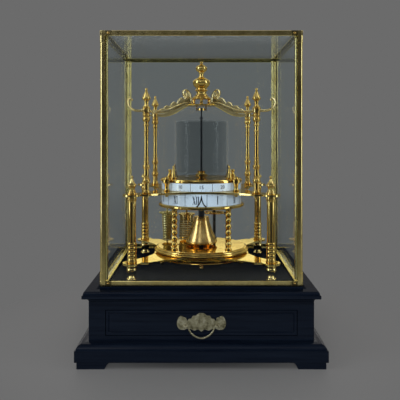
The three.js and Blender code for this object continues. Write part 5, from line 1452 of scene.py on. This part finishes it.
# %% Lamps
def soft_box(name, width, height, place, target, power, colour):
    lamp = bpy.data.lights.new(name, "AREA")
    lamp.shape, lamp.size, lamp.size_y = "RECTANGLE", width, height
    lamp.energy, lamp.color = power, colour
    holder = new_object(name, lamp)
    aim = (Vector(target) - Vector(place)).to_track_quat("-Z", "Y")
    holder.matrix_world = Matrix.Translation(place) @ aim.to_matrix().to_4x4()
    return holder


soft_box("left_box", 0.8, 2.2, (-1.9, -0.9, 1.0), (0, 0, 0.4), 19, (0.93, 0.97, 1.0))
soft_box("right_box", 0.6, 2.2, (2.0, -0.7, 1.0), (0, 0, 0.4), 12, (0.95, 0.98, 1.0))
top_light = soft_box("front_top_box", 1.4, 0.7, (0, -1.7, 2.0), (0, 0, 0.2), 5, (0.95, 0.98, 1.0))
fill = soft_box("front_fill", 1.2, 0.6, (0, -2.2, 0.62), (0, 0, 0.25), 29, (0.92, 0.97, 1.0))
fill.visible_glossy = top_light.visible_glossy = False
print("lamps:", len(bpy.data.lights))

# %% [markdown]
# The world shows plain grey to the camera, but gives mirrors a studio with bright panels and dark
# gaps, because polished brass looks like whatever is round it. Each layer of the room goes round by
# degrees from the camera, and the layers are blended by how high a ray looks.

# %% World
ROOM = [
    (-180, 0.10), (-140, 0.10), (-126, 0.24), (-92, 0.20), (-84, 0.05), (-68, 0.05), (-60, 0.20),
    (-32, 0.20), (-25, 0.03), (25, 0.03), (32, 0.28), (58, 0.28), (66, 0.04), (84, 0.04), (92, 0.20),
    (126, 0.24), (140, 0.10), (180, 0.10),
]
HORIZON = [
    (-180, 0.14), (-166, 0.14), (-164, 0.5), (-158, 0.5), (-156, 0.14), (-125, 0.12), (-108, 0.17),
    (-88, 0.17), (-80, 0.04), (-58, 0.04), (-52, 0.16), (-40, 0.16), (-34, 0.03), (36, 0.03), (42, 0.12),
    (52, 0.12), (58, 0.04), (80, 0.04), (88, 0.17), (108, 0.17), (125, 0.12), (156, 0.14), (158, 0.5),
    (164, 0.5), (166, 0.14), (180, 0.14),
]
MIDDLE = [
    (-180, 1.45), (-150, 1.35), (-128, 0.50), (-112, 0.10), (-96, 0.10), (-84, 0.45), (-50, 0.45),
    (-40, 0.05), (40, 0.06), (50, 0.45), (80, 0.45), (92, 0.10), (112, 0.10), (128, 0.50), (150, 1.35),
    (180, 1.45),
]
ABOVE_EYE = [
    (-180, 0.50), (-120, 0.50), (-108, 0.12), (-92, 0.6), (-60, 0.6), (-50, 0.14), (-27, 0.14),
    (-23, 1.6), (-10, 1.6), (-6, 0.22), (30, 0.20), (46, 0.30), (84, 0.30), (96, 0.10), (118, 0.12),
    (132, 0.50), (180, 0.50),
]
CEILING = [(0.0, 0.60), (0.76, 0.60), (0.86, 0.14), (1.0, 0.12)]
FLOOR_GLOW = (0.32, 0.32, 0.28, 1)
world = bpy.data.worlds.new("studio")
bpy.context.scene.world = world
world.use_nodes = True
studio = Nodes(world.node_tree, "Generated")
gaze = studio.split(studio.place)
azimuth = studio.maths("ARCTAN2", gaze["X"], studio.maths("MULTIPLY", gaze["Y"], -1))
turn = studio.span(azimuth, 0, 1, -math.pi, math.pi)


def lit(source, stops):
    """A ramp of slightly warm greys."""
    return studio.ramp(source, *[(at, (1.03 * level, level, 0.98 * level)) for at, level in stops])


def mixed(share, first, second):
    inputs = {"Factor": share, "A": first, "B": second}
    return studio.add("Mix", inputs, data_type="RGBA").outputs["Result"]


sky = FLOOR_GLOW
for low, high, layer in (
    (-0.235, -0.215, ROOM), (-0.13, -0.09, HORIZON), (0.16, 0.185, MIDDLE), (0.27, 0.33, ABOVE_EYE),
):
    around = lit(turn, [((degrees + 180) / 360, level) for degrees, level in layer])
    sky = mixed(studio.span(gaze["Z"], 0, 1, low, high), sky, around)
sky = mixed(studio.span(gaze["Z"], 0, 1, 0.52, 0.66), sky, lit(gaze["Z"], CEILING))
ray = studio.add("LightPath").outputs
seen = studio.maths("MAXIMUM", ray["Is Camera Ray"], ray["Is Transmission Ray"])
background = world.node_tree.nodes["Background"]
studio.feed(background, "Color", mixed(seen, sky, BACKDROP))
studio.feed(background, "Strength", 1.0)
print("world nodes:", len(world.node_tree.nodes))

# %% [markdown]
# The photograph was taken from in front and a little above the clock's middle. The lens is shifted
# downwards and not tilted, so that the cover's posts stay upright.

# %% Camera
EYE = (0, -1.074, 0.357)
lens = bpy.data.cameras.new("camera")
lens.lens, lens.sensor_width = 51.4, 36
lens.shift_x, lens.shift_y = -0.0035, -0.155
camera = new_object("camera", lens)
camera.matrix_world = Matrix.Translation(EYE) @ Matrix.Rotation(QUARTER, 4, "X")
bpy.context.scene.camera = camera
bpy.context.scene.view_settings.view_transform = "Standard"
print("camera at", EYE)
